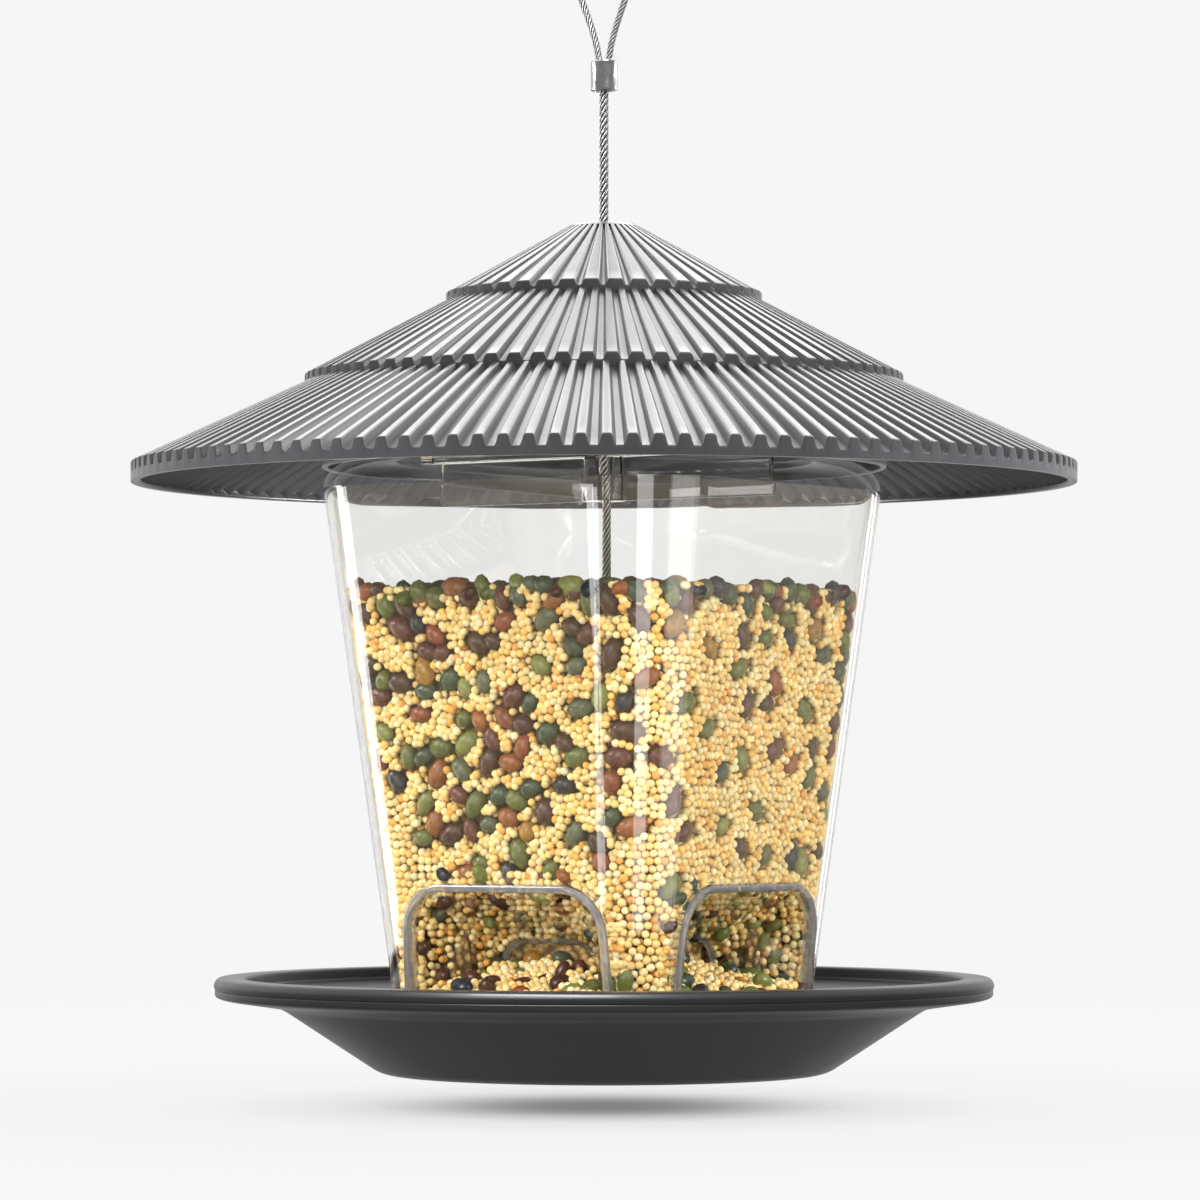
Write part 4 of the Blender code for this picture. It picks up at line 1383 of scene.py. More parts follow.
@dataclass
class Seeds:
    """The seed filling: grains and beans where they can be seen, over a heap that fills the core."""

    hopper: Hopper
    level: float = 117.0
    lowest: float = 3.4
    wall_gap: float = 0.12
    grain: float = 1.02
    pitch: float = 2.06
    port_height: float = 27.4
    seed: int = 11
    grain_tints: tuple[Colour, ...] = (
        (0.92, 0.66, 0.25), (0.93, 0.73, 0.34), (0.9, 0.55, 0.15), (0.95, 0.81, 0.46), (0.83, 0.4, 0.08),
    )
    grain_odds: tuple[float, ...] = (0.34, 0.3, 0.15, 0.16, 0.05)
    bean_tints: tuple[Colour, ...] = (
        (0.12, 0.14, 0.032), (0.22, 0.24, 0.06), (0.045, 0.07, 0.036), (0.07, 0.03, 0.018),
        (0.25, 0.065, 0.022), (0.12, 0.038, 0.026), (0.024, 0.027, 0.034), (0.1, 0.115, 0.065),
        (0.36, 0.18, 0.028), (0.28, 0.095, 0.024),
    )
    bean_odds: tuple[float, ...] = (0.17, 0.08, 0.13, 0.16, 0.1, 0.1, 0.12, 0.06, 0.04, 0.04)
    bean_half: tuple[float, float, float] = (3.25, 2.4, 2.0)

    def __post_init__(self) -> None:
        """Start the random numbers and make the two unit shapes."""
        self.random = np.random.default_rng(self.seed)
        self.rough_ball = self.octahedral_ball()
        self.fine_ball = self.pentagonal_ball()

    @staticmethod
    def octahedral_ball() -> Shape:
        """Unit ball of 32 triangles: an octahedron with each face split in four."""
        corners = [(1, 0, 0), (-1, 0, 0), (0, 1, 0), (0, -1, 0), (0, 0, 1), (0, 0, -1)]
        faces = [(0, 2, 4), (2, 1, 4), (1, 3, 4), (3, 0, 4), (2, 0, 5), (1, 2, 5), (3, 1, 5), (0, 3, 5)]
        points = [np.array(corner, dtype=float) for corner in corners]
        middles: dict[tuple[int, int], int] = {}

        def middle(a: int, b: int) -> int:
            key = (min(a, b), max(a, b))
            if key not in middles:
                point = points[a] + points[b]
                points.append(point / np.linalg.norm(point))
                middles[key] = len(points) - 1
            return middles[key]

        split = []
        for a, b, c in faces:
            ab, bc, ca = middle(a, b), middle(b, c), middle(c, a)
            split += [(a, ab, ca), (ab, b, bc), (ca, bc, c), (ab, bc, ca)]
        return np.array(points), np.array(split)

    @staticmethod
    def pentagonal_ball() -> Shape:
        """Unit ball of 60 triangles: an icosahedron's corners and face middles, joined across each edge."""
        golden = (1 + math.sqrt(5)) / 2
        signs = [(a, b) for a in (-1, 1) for b in (-1, 1)]
        corners = [(0, a, b * golden) for a, b in signs]
        corners += [(a, b * golden, 0) for a, b in signs]
        corners += [(b * golden, 0, a) for a, b in signs]
        corners = np.array(corners) / math.sqrt(1 + golden ** 2)
        near = np.linalg.norm(corners[:, None] - corners[None], axis=-1) < 1.1
        np.fill_diagonal(near, False)
        points = list(corners)
        middles: dict[tuple[int, ...], int] = {}
        faces = []
        for a in range(12):
            for b in np.flatnonzero(near[a]):
                sides = []
                for c in np.flatnonzero(near[a] & near[b]):
                    key = tuple(sorted((a, int(b), int(c))))
                    if key not in middles:
                        middle = corners[list(key)].sum(axis=0)
                        points.append(middle / np.linalg.norm(middle))
                        middles[key] = len(points) - 1
                    sides.append(middles[key])
                c, d = sides
                turned = np.dot(np.cross(points[c] - points[a], points[d] - points[a]), points[a]) < 0
                faces.append((a, d, c) if turned else (a, c, d))
        return np.array(points), np.array(faces)

    def turns(self, count: int) -> np.ndarray:
        """Random rotations, from unit quaternions."""
        w, x, y, z = normalised(self.random.normal(size=(count, 4))).T
        return np.stack([
            np.stack([1 - 2 * (y * y + z * z), 2 * (x * y - w * z), 2 * (x * z + w * y)], axis=-1),
            np.stack([2 * (x * y + w * z), 1 - 2 * (x * x + z * z), 2 * (y * z - w * x)], axis=-1),
            np.stack([2 * (x * z - w * y), 2 * (y * z + w * x), 1 - 2 * (x * x + y * y)], axis=-1),
        ], axis=1)

    def leaning(self, count: int, lean: float, up: float = 1.0) -> np.ndarray:
        """Random unit normals that lean away from straight up, or point every way where `up` is 0."""
        return normalised(self.random.normal(0.0, lean, (count, 3)) + (0.0, 0.0, up))

    def port_mask(self, points: np.ndarray, margin: float) -> np.ndarray:
        """Which points lie clear of every port's frame and hood."""
        hopper = self.hopper
        port, outlet = hopper.port, hopper.outlet
        clear = np.ones(len(points), dtype=bool)
        end = hopper.wall + hopper.hood_depth
        for face in Face:
            angle = -face.value * math.pi / 2
            cos, sin = math.cos(angle), math.sin(angle)
            across = np.abs(points[:, 0] * cos - points[:, 1] * sin)
            towards = points[:, 0] * sin + points[:, 1] * cos
            depth = towards + hopper.half(points[:, 2])
            share = np.clip((depth - hopper.wall) / hopper.hood_depth, 0.0, 1.0)
            width = (port.width + (outlet.width - port.width) * share) / 2
            top = port.top + (outlet.top - port.top) * share
            inside = (across < width + margin) & (points[:, 2] < top + margin) & (depth < end + margin)
            rounding = port.corner * (1 - share) + outlet.corner * share
            dx = across - (width - rounding)
            dz = points[:, 2] - (top - rounding)
            corner = (dx > 0) & (dz > 0) & (np.hypot(dx, dz) > rounding + margin)
            clear &= ~(inside & ~corner)
        return clear

    def section(self, height: np.ndarray, depth: float) -> tuple[np.ndarray, np.ndarray]:
        """Half width and corner radius, at a height, of a surface at a depth behind the wall's inside."""
        inset = self.hopper.wall + self.wall_gap + depth
        return self.hopper.half(height) - inset, self.hopper.corner(height) - inset

    def inner_wall(self, share: np.ndarray, height: np.ndarray,
                   depth: float) -> tuple[np.ndarray, np.ndarray]:
        """Points at a depth behind the inside of the wall, and their outward normals."""
        flat, normal = square_ring(*self.section(height, depth), share % 1.0)
        return raised(flat, height), raised(normal, 0.0)

    def girth(self, height: np.ndarray, depth: float) -> np.ndarray:
        """Length once round that surface at a height."""
        half, corner = self.section(height, depth)
        return 8 * (half - corner) + math.tau * corner

    def net(self, depth: float, pitch: float, shake: float) -> tuple[np.ndarray, np.ndarray]:
        """A shaken hexagonal net over the inside of the wall, as shares round it and heights.

        Each row holds as many grains as its own length allows, so neighbouring rows drift out of step.
        """
        shares, heights = [], []
        for number, height in enumerate(np.arange(self.lowest, self.level, pitch * 0.9)):
            count = int(self.girth(height, depth) / pitch)
            at = np.arange(count) + 0.5 * (number % 2) + self.random.uniform(-shake, shake, count)
            shares.append(at / count % 1.0)
            heights.append(height + self.random.uniform(-shake, shake, count) * pitch)
        return np.concatenate(shares), np.concatenate(heights)

    def relax(self, share: np.ndarray, height: np.ndarray, depth: float, reach: np.ndarray, free: np.ndarray,
              rounds: int) -> tuple[np.ndarray, np.ndarray]:
        """Push seeds apart along the wall until few of them overlap.

        Seeds are sorted by height and each is compared with the next ones up to the largest reach. A pair
        moves apart by its overlap, half each, or all of it where one of them is held.

        Args:
            share: Places round the wall.
            height: Heights.
            depth: How far behind the wall their middles lie.
            reach: Radius of each.
            free: Which of them may move.
            rounds: How often all pairs are looked at.

        Returns:
            The new shares and heights of those that may move.
        """
        widest = 2 * reach.max()
        longest_move, bottom = 0.6, 3.2
        for _ in range(rounds):
            order = np.argsort(height)
            share, height, reach, free = share[order], height[order], reach[order], free[order]
            points, normals = self.inner_wall(share, height, depth)
            push = np.zeros_like(points)
            for shift in range(1, len(share)):
                gap = points[shift:] - points[:-shift]
                if gap[:, 2].min() > widest:
                    break
                distance = np.sqrt(np.einsum("ij,ij->i", gap, gap)) + 1e-6
                overlap = np.clip(reach[shift:] + reach[:-shift] - distance, 0.0, None)
                hit = np.flatnonzero(overlap)
                move = gap[hit] * (overlap[hit] / distance[hit])[:, None]
                part = np.where((free[hit] & free[hit + shift])[:, None], 0.5, 1.0)
                push[hit] -= move * part * free[hit][:, None]
                push[hit + shift] += move * part * free[hit + shift][:, None]
            sideways = np.stack([-normals[:, 1], normals[:, 0]], axis=-1)
            along = np.clip(np.einsum("ij,ij->i", push[:, :2], sideways), -longest_move, longest_move)
            upwards = np.clip(push[:, 2], -longest_move, longest_move)
            share = (share + along / self.girth(height, depth)) % 1.0
            height = np.clip(height + upwards, bottom, self.level)
        return share[free], height[free]

    def scatter(self, places: np.ndarray, spacing: float, count: int) -> np.ndarray:
        """Pick some of the places, none nearer to another than the spacing: first come, first kept."""
        order = self.random.permutation(len(places))
        kept: list[int] = []
        for i in order:
            if len(kept) >= count:
                break
            if not kept or np.min(np.sum((places[kept] - places[i]) ** 2, axis=1)) > spacing ** 2:
                kept.append(int(i))
        return np.array(kept, dtype=int)

    def bean_shapes(self, normals: np.ndarray) -> tuple[np.ndarray, np.ndarray]:
        """Stretched balls that lie flat on the surface they rest on, each turned its own way.

        Returns:
            A matrix for each bean and its half thickness along the normal.
        """
        count = len(normals)
        size = self.random.uniform(0.86, 1.16, count)
        long, wide, thick = self.bean_half
        length = long * size * self.random.uniform(0.88, 1.2, count)
        axes = np.stack([length, wide * size, thick * size], axis=-1)
        spin = self.random.uniform(0.0, math.tau, count)
        helper = np.where(np.abs(normals[:, 2:]) > 0.9, (1.0, 0.0, 0.0), (0.0, 0.0, 1.0))
        a = normalised(np.cross(helper, normals))
        b = np.cross(normals, a)
        along = a * np.cos(spin)[:, None] + b * np.sin(spin)[:, None]
        across = np.cross(normals, along)
        turned = np.stack([along, across, normals], axis=-1)
        return turned * axes[:, None, :], axes[:, 2]

    def tints(self, table: Sequence[Sequence[float]], odds: Sequence[float], count: int) -> np.ndarray:
        """A colour for each seed, from the table by its odds, each a little lighter or darker."""
        pick = self.random.choice(len(table), size=count, p=np.array(odds) / sum(odds))
        return np.array(table)[pick] * self.random.uniform(0.82, 1.12, (count, 1))

    def piece(self, name: str, places: np.ndarray, shapes: np.ndarray, tints: np.ndarray, ball: Shape,
              coat: Finish) -> None:
        """One object of many seeds, with the colour of each in the attribute `tint`."""
        points, faces = ball
        skin = Skin(name)
        skin.copies(points, faces, places, shapes)
        thing = skin.build(coat, crease=180.0, outward=False)
        layer = thing.data.attributes.new("tint", "FLOAT_COLOR", "POINT")
        colour = np.concatenate([tints, np.ones((len(tints), 1))], axis=1)
        layer.data.foreach_set("color", np.repeat(colour, len(points), axis=0).astype(np.float32).ravel())
        settle(thing, Body.FEEDER)

    def grains(self, name: str, places: np.ndarray, fine: bool = True) -> None:
        """Round grains at the places given."""
        count = len(places)
        size = self.grain * self.random.uniform(0.92, 1.1, (count, 1, 1))
        squash = 1.0 + self.random.uniform(-0.05, 0.05, (count, 1, 3))
        shapes = self.turns(count) * size * squash
        tints = self.tints(self.grain_tints, self.grain_odds, count)
        self.piece(name, places, shapes, tints, self.fine_ball if fine else self.rough_ball, MILLET)

    def beans(self, name: str, places: np.ndarray, shapes: np.ndarray) -> None:
        """Beans at the places given."""
        tints = self.tints(self.bean_tints, self.bean_odds, len(places))
        self.piece(name, places, shapes, tints, self.fine_ball, BEAN)

    def bean_wish(self, spots: np.ndarray) -> np.ndarray:
        """How much a place at the wall asks for a bean.

        Beans lie in a band of heights, most of them in drifts a little left of the middle of the front and
        the back, and in the topmost 4 mm.
        """
        height = spots[:, 2]
        band_middle, band_reach = 79.0, 28.0
        around = np.arctan2(spots[:, 0], -spots[:, 1])
        band = np.exp(-((height - band_middle) / band_reach) ** 4)
        drift = 0.03 + 0.5 * np.exp(-(np.sin(around + 0.16) / 0.5) ** 2)
        wish = 0.025 + band * drift * 0.6
        return wish + 0.9 * (height > self.level - 4.0) + 0.06 * (height > self.level - 16.0)

    def wall_layers(self) -> None:
        """Two layers of grains behind the wall, the outer one packed round the beans among them."""
        bean_depth, bean_spacing, most_beans, lowest_bean = 1.75, 4.4, 560, 9.0
        share, height = self.net(bean_depth, 2.0, 0.3)
        spots, normals = self.inner_wall(share, height, bean_depth)
        chosen = self.port_mask(spots, 2.2) & (height > lowest_bean)
        chosen &= self.random.uniform(0.0, 1.6, len(spots)) < self.bean_wish(spots)
        kept = np.flatnonzero(chosen)[self.scatter(spots[chosen], bean_spacing, most_beans)]
        shapes, thick = self.bean_shapes(normals[kept])
        beans = spots[kept] + normals[kept] * (bean_depth - thick)[:, None]
        self.beans("beans_wall", beans, shapes)

        outer, inner = 1.0, 2.7
        at, level = self.net(outer, 2.1, 0.45)
        free = np.concatenate([np.ones(len(at), dtype=bool), np.zeros(len(kept), dtype=bool)])
        reach = np.where(free, 1.0, 2.6)
        at, level = np.concatenate([at, share[kept]]), np.concatenate([level, height[kept]])
        at, level = self.relax(at, level, outer, reach, free, rounds=12)
        self.wall_grains("grains_wall_1", at, level, outer, beans, shapes, 0.28)
        at, level = self.net(inner, 2.1, 0.2)
        self.wall_grains("grains_wall_2", at, level, inner, beans, shapes, 0.1, fine=False)

    def wall_grains(self, name: str, share: np.ndarray, height: np.ndarray, depth: float, beans: np.ndarray,
                    shapes: np.ndarray, margin: float, fine: bool = True) -> None:
        """One layer of grains behind the wall, clear of hoods and beans, as one piece for each quarter."""
        grains, facing = self.inner_wall(share, height, depth)
        grains = grains - facing * self.random.uniform(0.0, 0.3, (len(grains), 1))
        keep = self.port_mask(grains, 1.1) & self.clear_of(grains, beans, 1.0 + margin, shapes)
        quarter = np.floor(share[keep] * 4).astype(int) % 4
        for number in range(4):
            self.grains(f"{name}_{number + 1}", grains[keep][quarter == number], fine)

    @staticmethod
    def clear_of(points: np.ndarray, others: np.ndarray, distance: float,
                 shapes: np.ndarray | None = None) -> np.ndarray:
        """Which points lie further away from all others than a distance.

        Args:
            points: The points asked about.
            others: What they have to be clear of.
            distance: In millimetres or, where there are shapes, in lengths of each shape's own axes.
            shapes: A matrix for each of the others.

        Returns:
            One truth value for each point.
        """
        chunk = 1000
        inverse = None if shapes is None else np.linalg.inv(shapes)
        clear = np.ones(len(points), dtype=bool)
        for start in range(0, len(points), chunk):
            gap = points[start:start + chunk, None] - others[None]
            if inverse is not None:
                gap = np.einsum("bij,pbj->pbi", inverse, gap)
            clear[start:start + chunk] = np.sum(gap ** 2, axis=-1).min(axis=1) > distance ** 2
        return clear

    def top_height(self, x: np.ndarray, y: np.ndarray) -> np.ndarray:
        """Gently uneven surface of the filling."""
        swell = 1.1 * np.sin(0.13 * x + 0.6) * np.cos(0.11 * y)
        return self.level - 2.2 + swell + 0.6 * np.sin(0.31 * x - 0.24 * y)

    def top_layer(self) -> None:
        """Beans and grains on the surface of the filling."""
        shake, cable_room = 0.3, 3.0
        half = self.hopper.half(self.level) - self.hopper.wall - 1.6
        corner = self.hopper.corner(self.level) - self.hopper.wall
        side = np.arange(-half, half, 0.8)
        x, y = (axis.ravel() for axis in np.meshgrid(side, side))
        dx, dy = np.abs(x) - (half - corner), np.abs(y) - (half - corner)
        inside = ~((dx > 0) & (dy > 0) & (np.hypot(dx, dy) > corner)) & (np.hypot(x, y) > cable_room)
        x = x[inside] + self.random.uniform(-shake, shake, inside.sum())
        y = y[inside] + self.random.uniform(-shake, shake, inside.sum())
        spots = np.stack([x, y, self.top_height(x, y)], axis=-1)
        beans = spots[self.scatter(spots, 4.6, 330)] + (0.0, 0.0, 1.4)
        beans[:, 2] += self.random.uniform(-0.6, 0.8, len(beans))
        shapes, _ = self.bean_shapes(self.leaning(len(beans), 0.3))
        self.beans("beans_top", beans, shapes)
        grains = spots[self.scatter(spots, 1.85, 2600)]
        self.grains("grains_top", grains[self.clear_of(grains, beans, 2.2)])

    def heap(self) -> None:
        """The core of the filling: a closed body 4.2 mm behind the wall, stepped in behind the hoods."""
        hopper = self.hopper
        inset, hood_top, hood_half, blend = hopper.wall + 4.2, 51.5, 30.5, 4.0
        share = np.arange(160) / 160
        rows = []
        for height in np.linspace(3.0, self.level - 3.4, 26):
            flat, _ = square_ring(hopper.half(height) - inset, hopper.corner(height) - 5.0, share)
            near = np.clip((hood_top - height) / blend, 0.0, 1.0)
            limit = hopper.half(height) - hopper.wall - hopper.hood_depth - 3.2
            hold = flat.copy()
            for axis in (0, 1):
                wide = np.abs(flat[:, 1 - axis]) < hood_half
                pulled = np.sign(flat[:, axis]) * np.minimum(np.abs(flat[:, axis]), limit)
                hold[:, axis] = np.where(wide, flat[:, axis] + (pulled - flat[:, axis]) * near, hold[:, axis])
            rows.append(raised(hold, height))
        body = np.stack(rows)
        low, high = (np.stack([row * (k, k, 1.0) for k in (0.75, 0.5, 0.25, 0.02)]) for row in body[[0, -1]])
        skin = Skin("seed_heap")
        skin.sheet(np.concatenate([low[::-1], body, high]), around=True)
        settle(skin.build(HEAP, crease=180.0), Body.FEEDER)

    def hood_layer(self) -> None:
        """Grains and a few beans that lie against the hopper's side of the hoods."""
        hopper = self.hopper
        row_pitch, shake = 1.75, 0.7
        depths = np.arange(hopper.wall + 1.0, hopper.wall + hopper.hood_depth + 0.8, row_pitch)
        for face in Face:
            rows = []
            for layer in (0, 1):
                for depth in depths:
                    share = min((depth - hopper.wall) / hopper.hood_depth, 1.0)
                    line = hopper.port.towards(hopper.outlet, share).line(1.3 + row_pitch * layer, 24)
                    length = run_length(line)
                    count = int(length[-1] / 2.04)
                    at = (np.arange(count) + self.random.uniform(0.1, 0.9, count)) / count * length[-1]
                    x, z = (np.interp(at, length, line[:, axis]) for axis in (0, 1))
                    rows.append(np.stack([x, depth + self.random.uniform(-shake, shake, count), z], axis=-1))
            places = hopper.on_wall(np.concatenate(rows), face)
            places = places[places[:, 2] > self.lowest]
            beans = places[self.scatter(places, 4.6, 46)]
            shapes, _ = self.bean_shapes(self.leaning(len(beans), 1.0, up=0.0))
            self.beans(f"beans_hood_{face.word}", beans, shapes * 0.85)
            self.grains(f"grains_hood_{face.word}", places[self.clear_of(places, beans, 2.3)], fine=False)

    def pile_height(self, depth: np.ndarray) -> np.ndarray:
        """Top of the seed that has run out of an outlet, by depth behind the wall's outer face."""
        knots = (-22.0, -17.0, -9.0, 0.0, 10.0, 19.0, 23.0)
        heights = (2.6, 4.5, 14.5, 21.8, 24.6, 28.4, 29.0)
        return np.interp(depth, knots, heights)

    def pile_half(self, depth: np.ndarray) -> np.ndarray:
        """Half width of that seed by depth: the niche's own inside it, a fan outside."""
        knots = (-22.0, -12.0, 0.0, 2.0, 19.0, 23.0)
        halves = (20.0, 27.0, 27.4, 27.0, 12.2, 12.0)
        return np.interp(depth, knots, halves)

    def piles(self) -> None:
        """Seed in the four niches and in the dish before them."""
        walk = np.arange(-22.0, 23.0, 0.25)
        top = self.pile_height(walk)
        run = np.concatenate([[0.0], np.cumsum(np.hypot(np.diff(walk), np.diff(top)))])
        row_pitch, under, shake, lift = 1.78, 1.7, 0.3, 0.35
        wall = self.hopper.half(self.port_height)
        for face in Face:
            rows = []
            for layer in (0, 1):
                for number, at in enumerate(np.arange(0.5 * layer, run[-1], row_pitch)):
                    depth = float(np.interp(at, run, walk))
                    half = float(self.pile_half(depth)) - 1.0
                    x = np.arange(-half, half, self.pitch) + 0.5 * self.pitch * (number % 2)
                    x = x + self.random.uniform(-shake, shake, len(x))
                    fan = 0.0 if depth > 0 else 3.2 * (np.abs(x) / 27.0) ** 3
                    z = self.pile_height(depth) - 1.0 - under * layer - fan
                    z = z + self.random.uniform(-lift, lift, len(x)) + 0.7 * np.sin(0.35 * x + 0.4 * depth)
                    y = np.full(len(x), depth) + self.random.uniform(-shake, shake, len(x))
                    rows.append(np.stack([x, y - wall, np.maximum(z, self.lowest)], axis=-1))
            places = quarter_turn(np.concatenate(rows), face)
            dish = np.interp(np.linalg.norm(places[:, :2], axis=1), (54.5, 76.5), (3.5, 20.0))
            places[:, 2] = np.maximum(places[:, 2], dish)
            kept = self.scatter(places, 4.8, 50)
            beans = places[kept] + (0.0, 0.0, 0.5)
            beans[:, 2] = np.maximum(beans[:, 2], dish[kept] + 2.4)
            shapes, _ = self.bean_shapes(self.leaning(len(beans), 0.35))
            self.beans(f"beans_pile_{face.word}", beans, shapes)
            self.grains(f"grains_pile_{face.word}", places[self.clear_of(places, beans, 2.3)])
            self.pile_core(face)

    def pile_core(self, face: Face) -> None:
        """The body of a pile, 3.4 mm under its top, as a sheet folded down at its sides."""
        depth = np.linspace(-9.0, 23.0, 18)[:, None]
        across = np.linspace(-1.0, 1.0, 15)
        fold = 12.0 * np.clip(np.abs(across) - 0.86, 0, 1)
        x = across * (self.pile_half(depth) - 2.4 - 6.0 * np.clip(-depth / 9.0, 0.0, 1.0))
        y = np.broadcast_to(depth, x.shape) - self.hopper.half(self.port_height)
        z = np.maximum(self.pile_height(depth) - 3.4 - fold, 2.5)
        skin = Skin(f"pile_core_{face.word}")
        skin.sheet(quarter_turn(np.stack([x, y, z], axis=-1), face))
        settle(skin.build(HEAP, crease=180.0, outward=False), Body.FEEDER)

    def build(self) -> None:
        """All of the filling."""
        self.heap()
        self.wall_layers()
        self.top_layer()
        self.hood_layer()
        self.piles()


# Studio


@dataclass(frozen=True)
class Lamp:
    """A softbox that faces the feeder and lights one group of pieces.

    Its aim is the azimuth from the camera's and the elevation, in degrees, and the distance in metres. Its
    size is in metres and its power in watts.
    """

    name: str
    aim: tuple[float, float, float]
    size: tuple[float, float]
    power: float
    group: str


LAMPS = (
    Lamp("key", (-28.0, 32.0, 1.6), (0.9, 0.6), 4.5, "body"),
    Lamp("roof_front", (28.0, 32.0, 1.6), (0.9, 0.6), 3.6, "roof"),
    Lamp("dish_top", (-25.0, 58.0, 1.4), (0.9, 0.35), 32.0, "dish"),
    Lamp("roof_back", (-178.0, 52.0, 1.4), (2.0, 1.2), 28.0, "roof"),
    Lamp("roof_side", (80.0, 44.0, 1.4), (0.6, 0.6), 9.0, "roof"),
    Lamp("eaves_left", (-80.0, -24.0, 1.0), (0.3, 0.15), 12.0, "roof"),
    Lamp("eaves_right", (95.0, -24.0, 1.0), (0.3, 0.15), 15.0, "roof"),
    Lamp("seed_left", (-35.0, 14.0, 1.5), (0.7, 0.6), 17.5, "seed"),
    Lamp("seed_right", (60.0, 12.0, 1.5), (0.7, 0.6), 19.0, "seed"),
    Lamp("left_strip", (-104.0, -13.0, 1.3), (0.3, 1.2), 8.0, "clear"),
    Lamp("corner_strip", (-65.5, -13.0, 1.3), (0.06, 0.55), 0.6, "clear"),
    Lamp("corner_haze", (5.0, -13.0, 1.3), (0.5, 0.75), 2.8, "clear"),
    Lamp("right_haze", (62.0, -13.0, 1.3), (1.0, 0.8), 3.7, "clear"),
    Lamp("right_strip", (140.0, -13.0, 1.3), (0.12, 1.2), 0.9, "clear"),
    Lamp("bridge_light", (-84.0, 30.0, 1.3), (0.5, 0.6), 12.0, "clear"),
    Lamp("metal_left", (-97.0, 0.0, 1.2), (0.3, 0.6), 3.6, "metal"),
    Lamp("metal_front", (-40.0, 48.0, 1.3), (0.6, 0.6), 11.0, "metal"),
    Lamp("metal_right", (112.0, 0.0, 1.2), (0.2, 0.6), 2.6, "metal"),
)


@dataclass
class Studio:
    """Camera at the photograph's angle, pale sweep and soft lamps."""

    azimuth: float = 34.5
    distance: float = 1.28
    eye: float = 71.0
    lens: float = 157.46
    shift: tuple[float, float] = (-4.0 / 1200.0, 182.3 / 1200.0)
    floor: float = -8.0
    floor_radius: float = 9000.0
    middle: float = -0.17
    white: float = 0.921

    def camera(self) -> None:
        """A long lens level with the lower third of the feeder, shifted up to frame it."""
        data = bpy.data.cameras.new("camera")
        data.sensor_width = 36.0
        data.lens = self.lens
        data.shift_x, data.shift_y = self.shift
        data.dof.use_dof = False
        camera = bpy.data.objects.new("camera", data)
        turn = math.radians(self.azimuth)
        height = (self.eye - LOOP_TOP) * MM
        camera.location = (math.sin(turn) * self.distance, -math.cos(turn) * self.distance, height)
        camera.rotation_euler = (math.pi / 2, 0.0, turn)
        bpy.context.scene.collection.objects.link(camera)
        bpy.context.scene.camera = camera

    def light(self, lamp: Lamp) -> None:
        """Place a lamp and aim it at the feeder's middle."""
        data = bpy.data.lights.new(lamp.name, "AREA")
        data.shape = "RECTANGLE"
        data.size, data.size_y = lamp.size
        data.energy = lamp.power
        thing = bpy.data.objects.new(lamp.name, data)
        azimuth, elevation, distance = lamp.aim
        turn, lift = math.radians(self.azimuth + azimuth), math.radians(elevation)
        away = Vector((math.sin(turn) * math.cos(lift), -math.cos(turn) * math.cos(lift), math.sin(lift)))
        thing.location = Vector((0.0, 0.0, self.middle)) + away * distance
        thing.rotation_euler = away.to_track_quat("Z", "Y").to_euler()
        thing.light_linking.receiver_collection = bpy.data.collections[f"lit_{lamp.group}"]
        bpy.context.scene.collection.objects.link(thing)

    def groups(self) -> None:
        """Groups that the lamps light; `body` is all but the roof, and the sweep is in none."""
        things = [thing for thing in bpy.data.objects if thing.type == "MESH" and thing.name != "sweep"]

        def wears(thing: bpy.types.Object, *finishes: Finish) -> bool:
            names = {slot.material.name for slot in thing.material_slots if slot.material}
            return any(finish.name in names for finish in finishes)

        rows = {
            "roof": [thing for thing in things if wears(thing, ROOF_GREY)],
            "dish": [thing for thing in things if wears(thing, DISH_GREY)],
            "clear": [thing for thing in things if wears(thing, CLEAR)],
            "body": [thing for thing in things if not wears(thing, ROOF_GREY)],
            "metal": [thing for thing in things if wears(thing, STRAND, ALUMINIUM)],
            "seed": [thing for thing in things if wears(thing, MILLET, BEAN, HEAP)],
        }
        for name, members in rows.items():
            group = bpy.data.collections.new(f"lit_{name}")
            for thing in members:
                group.objects.link(thing)

    def sweep(self) -> None:
        """A wide floor for the camera alone: reflections and lamps pass through it."""
        radius = np.linspace(0.01, self.floor_radius, 30)
        skin = Skin("sweep")
        skin.turned(np.stack([radius, np.full(len(radius), self.floor)], axis=-1), 96, closed=False)
        sweep = skin.build(SweepPaper("sweep_paper"), crease=180.0, outward=False)
        sweep.visible_glossy = False
        sweep.visible_transmission = False
        sweep.visible_shadow = False

    def world(self) -> None:
        """White surroundings: brighter above and dimmer below in reflections, warm sides through plastic."""
        world = bpy.data.worlds.new("studio")
        world.use_nodes = True
        nodes = Nodes(world.node_tree)
        direction = nodes.add("ShaderNodeTexCoord").outputs["Generated"]
        turn = math.radians(self.azimuth)

        def along(back: float, up: float) -> bpy.types.NodeSocket:
            inputs = {0: direction, 1: (-back * math.sin(turn), back * math.cos(turn), up)}
            return nodes.add("ShaderNodeVectorMath", inputs, operation="DOT_PRODUCT").outputs["Value"]

        above = nodes.spread(along(0.5, 0.87), 0.0, 1.0, (0.0, 1.0))
        behind = nodes.spread(along(1.0, 0.0), 0.0, 1.0, (0.55, 0.95))
        path = nodes.add("ShaderNodeLightPath")
        mirrored = nodes.mix(above, (0.2,) * 3, (1.2,) * 3)
        through = nodes.mix(behind, (0.62, 0.5, 0.3), (1.02,) * 3)
        shiny = nodes.mix(path.outputs["Is Glossy Ray"], (self.white,) * 3, mirrored)
        colour = nodes.mix(path.outputs["Is Transmission Ray"], shiny, through)
        nodes.fill(world.node_tree.nodes["Background"], {"Color": colour})
        bpy.context.scene.world = world

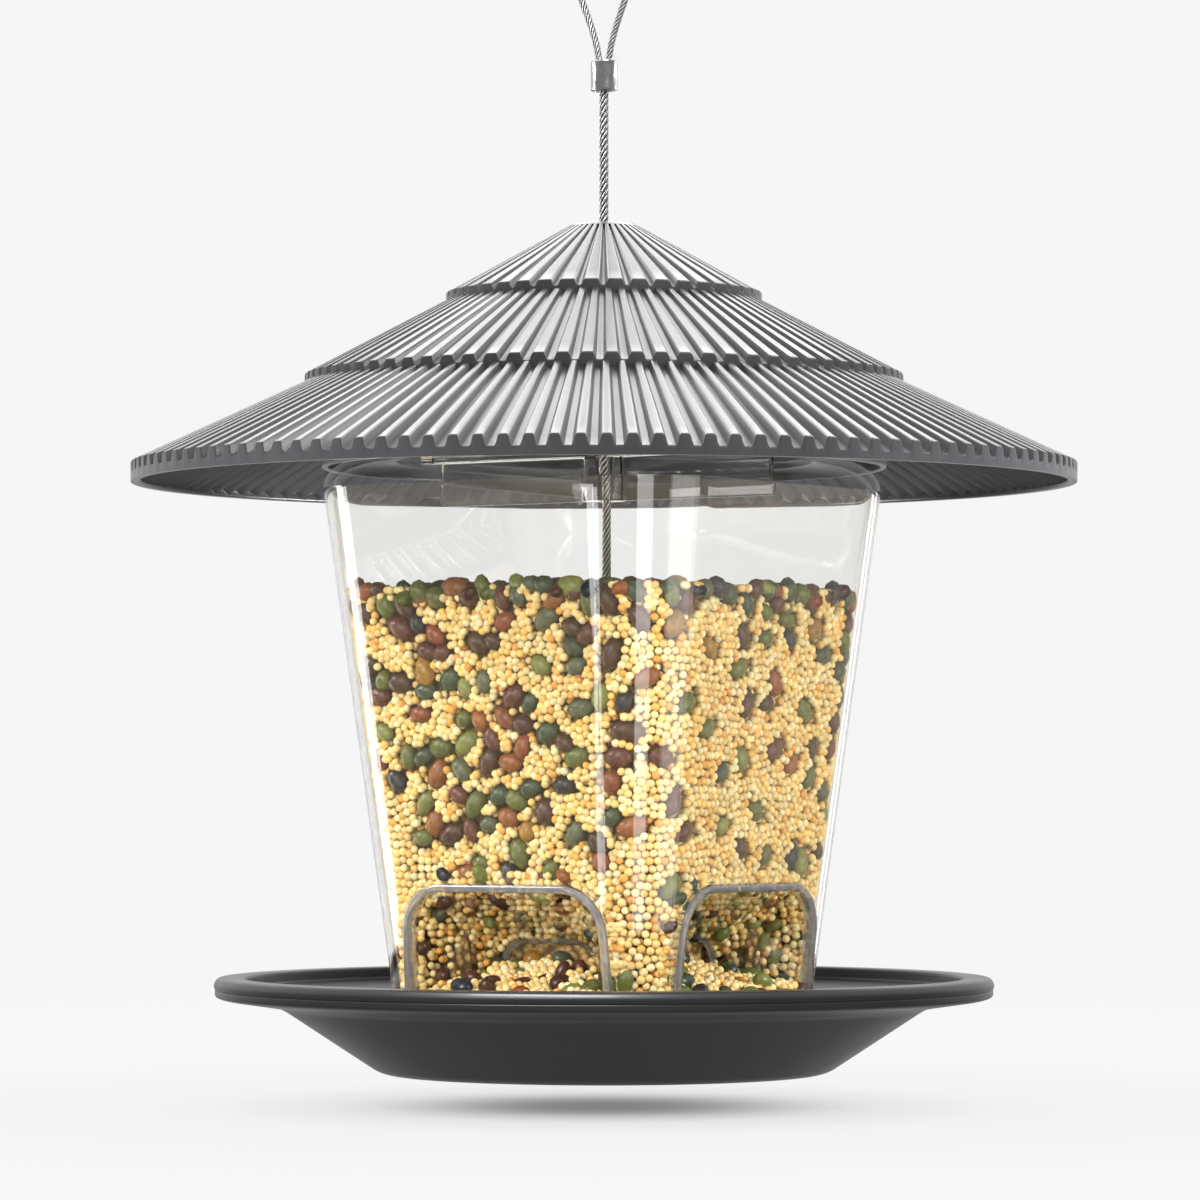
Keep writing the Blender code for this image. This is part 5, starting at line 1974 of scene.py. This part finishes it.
    def build(self) -> None:
        """Surroundings, sweep and lamps, shown without a film curve."""
        bpy.context.scene.view_settings.view_transform = "Standard"
        self.world()
        self.groups()
        self.sweep()
        for lamp in LAMPS:
            self.light(lamp)


# Assembly


def fittings() -> None:
    """Ferrule, bushing, stop and washer."""
    ferrule = Ferrule().build()
    settle(ferrule, Body.FEEDER, ("loop_ferrule",))
    bushing = Turned(
        "bushing_skin",
        ((1.6, 206.9), (3.1, 206.9), (3.1, 205.1), (5.9, 205.1), (5.9, 203.7), (3.1, 203.7), (3.1, 200.7),
         (1.6, 200.7)),
        (0.4, 0.4, 0.3, 0.4, 0.4, 0.3, 0.4, 0.4),
        BUSHING_BLACK,
    )
    settle(bushing.build(), Body.SLIDER, ("roof_bushing",))
    stop = Turned(
        "stop_skin",
        ((1.25, 8.5), (3.0, 8.5), (3.0, 5.9), (2.75, 5.2), (3.0, 4.5), (3.0, 1.9), (1.25, 1.9)),
        (0.3, 0.6, 0.5, 0.5, 0.5, 0.6, 0.3),
        ALUMINIUM,
    )
    settle(stop.build(), Body.FEEDER, ("cable_stop",))
    washer = Turned(
        "washer_skin",
        ((1.6, 9.8), (6.0, 9.8), (6.0, 8.8), (1.6, 8.8)),
        (0.25, 0.35, 0.35, 0.25),
        ZINC,
    )
    settle(washer.build(), Body.FEEDER, ("stop_washer",))


def clear_parts() -> Hopper:
    """Hopper, hoods and bridge."""
    hopper = Hopper()
    settle(hopper.build_shell(), Body.FEEDER, ("hopper",))
    for face in Face:
        settle(hopper.build_hood(face), Body.FEEDER, (f"port_hood_{face.name.lower()}",))
    settle(Bridge().build(), Body.FEEDER, ("hopper_bridge",))
    return hopper


def main() -> None:
    """Build everything in order: camera, ropes, roof, dish, clear parts, seed, studio."""
    logging.basicConfig(level=logging.INFO, format="%(name)s: %(message)s")
    studio = Studio()
    studio.camera()
    MainCable("hanging_cable", radius=1.15, strands=6, pitch=9.5).build()
    HangingLoop("hanging_loop", radius=0.85, strands=6, pitch=7.5).build()
    fittings()
    settle(Roof().build(), Body.SHELL, ("roof",))
    settle(Dish().build(), Body.FEEDER, ("dish",))
    Seeds(clear_parts()).build()
    studio.build()


if __name__ == "__main__":
    main()
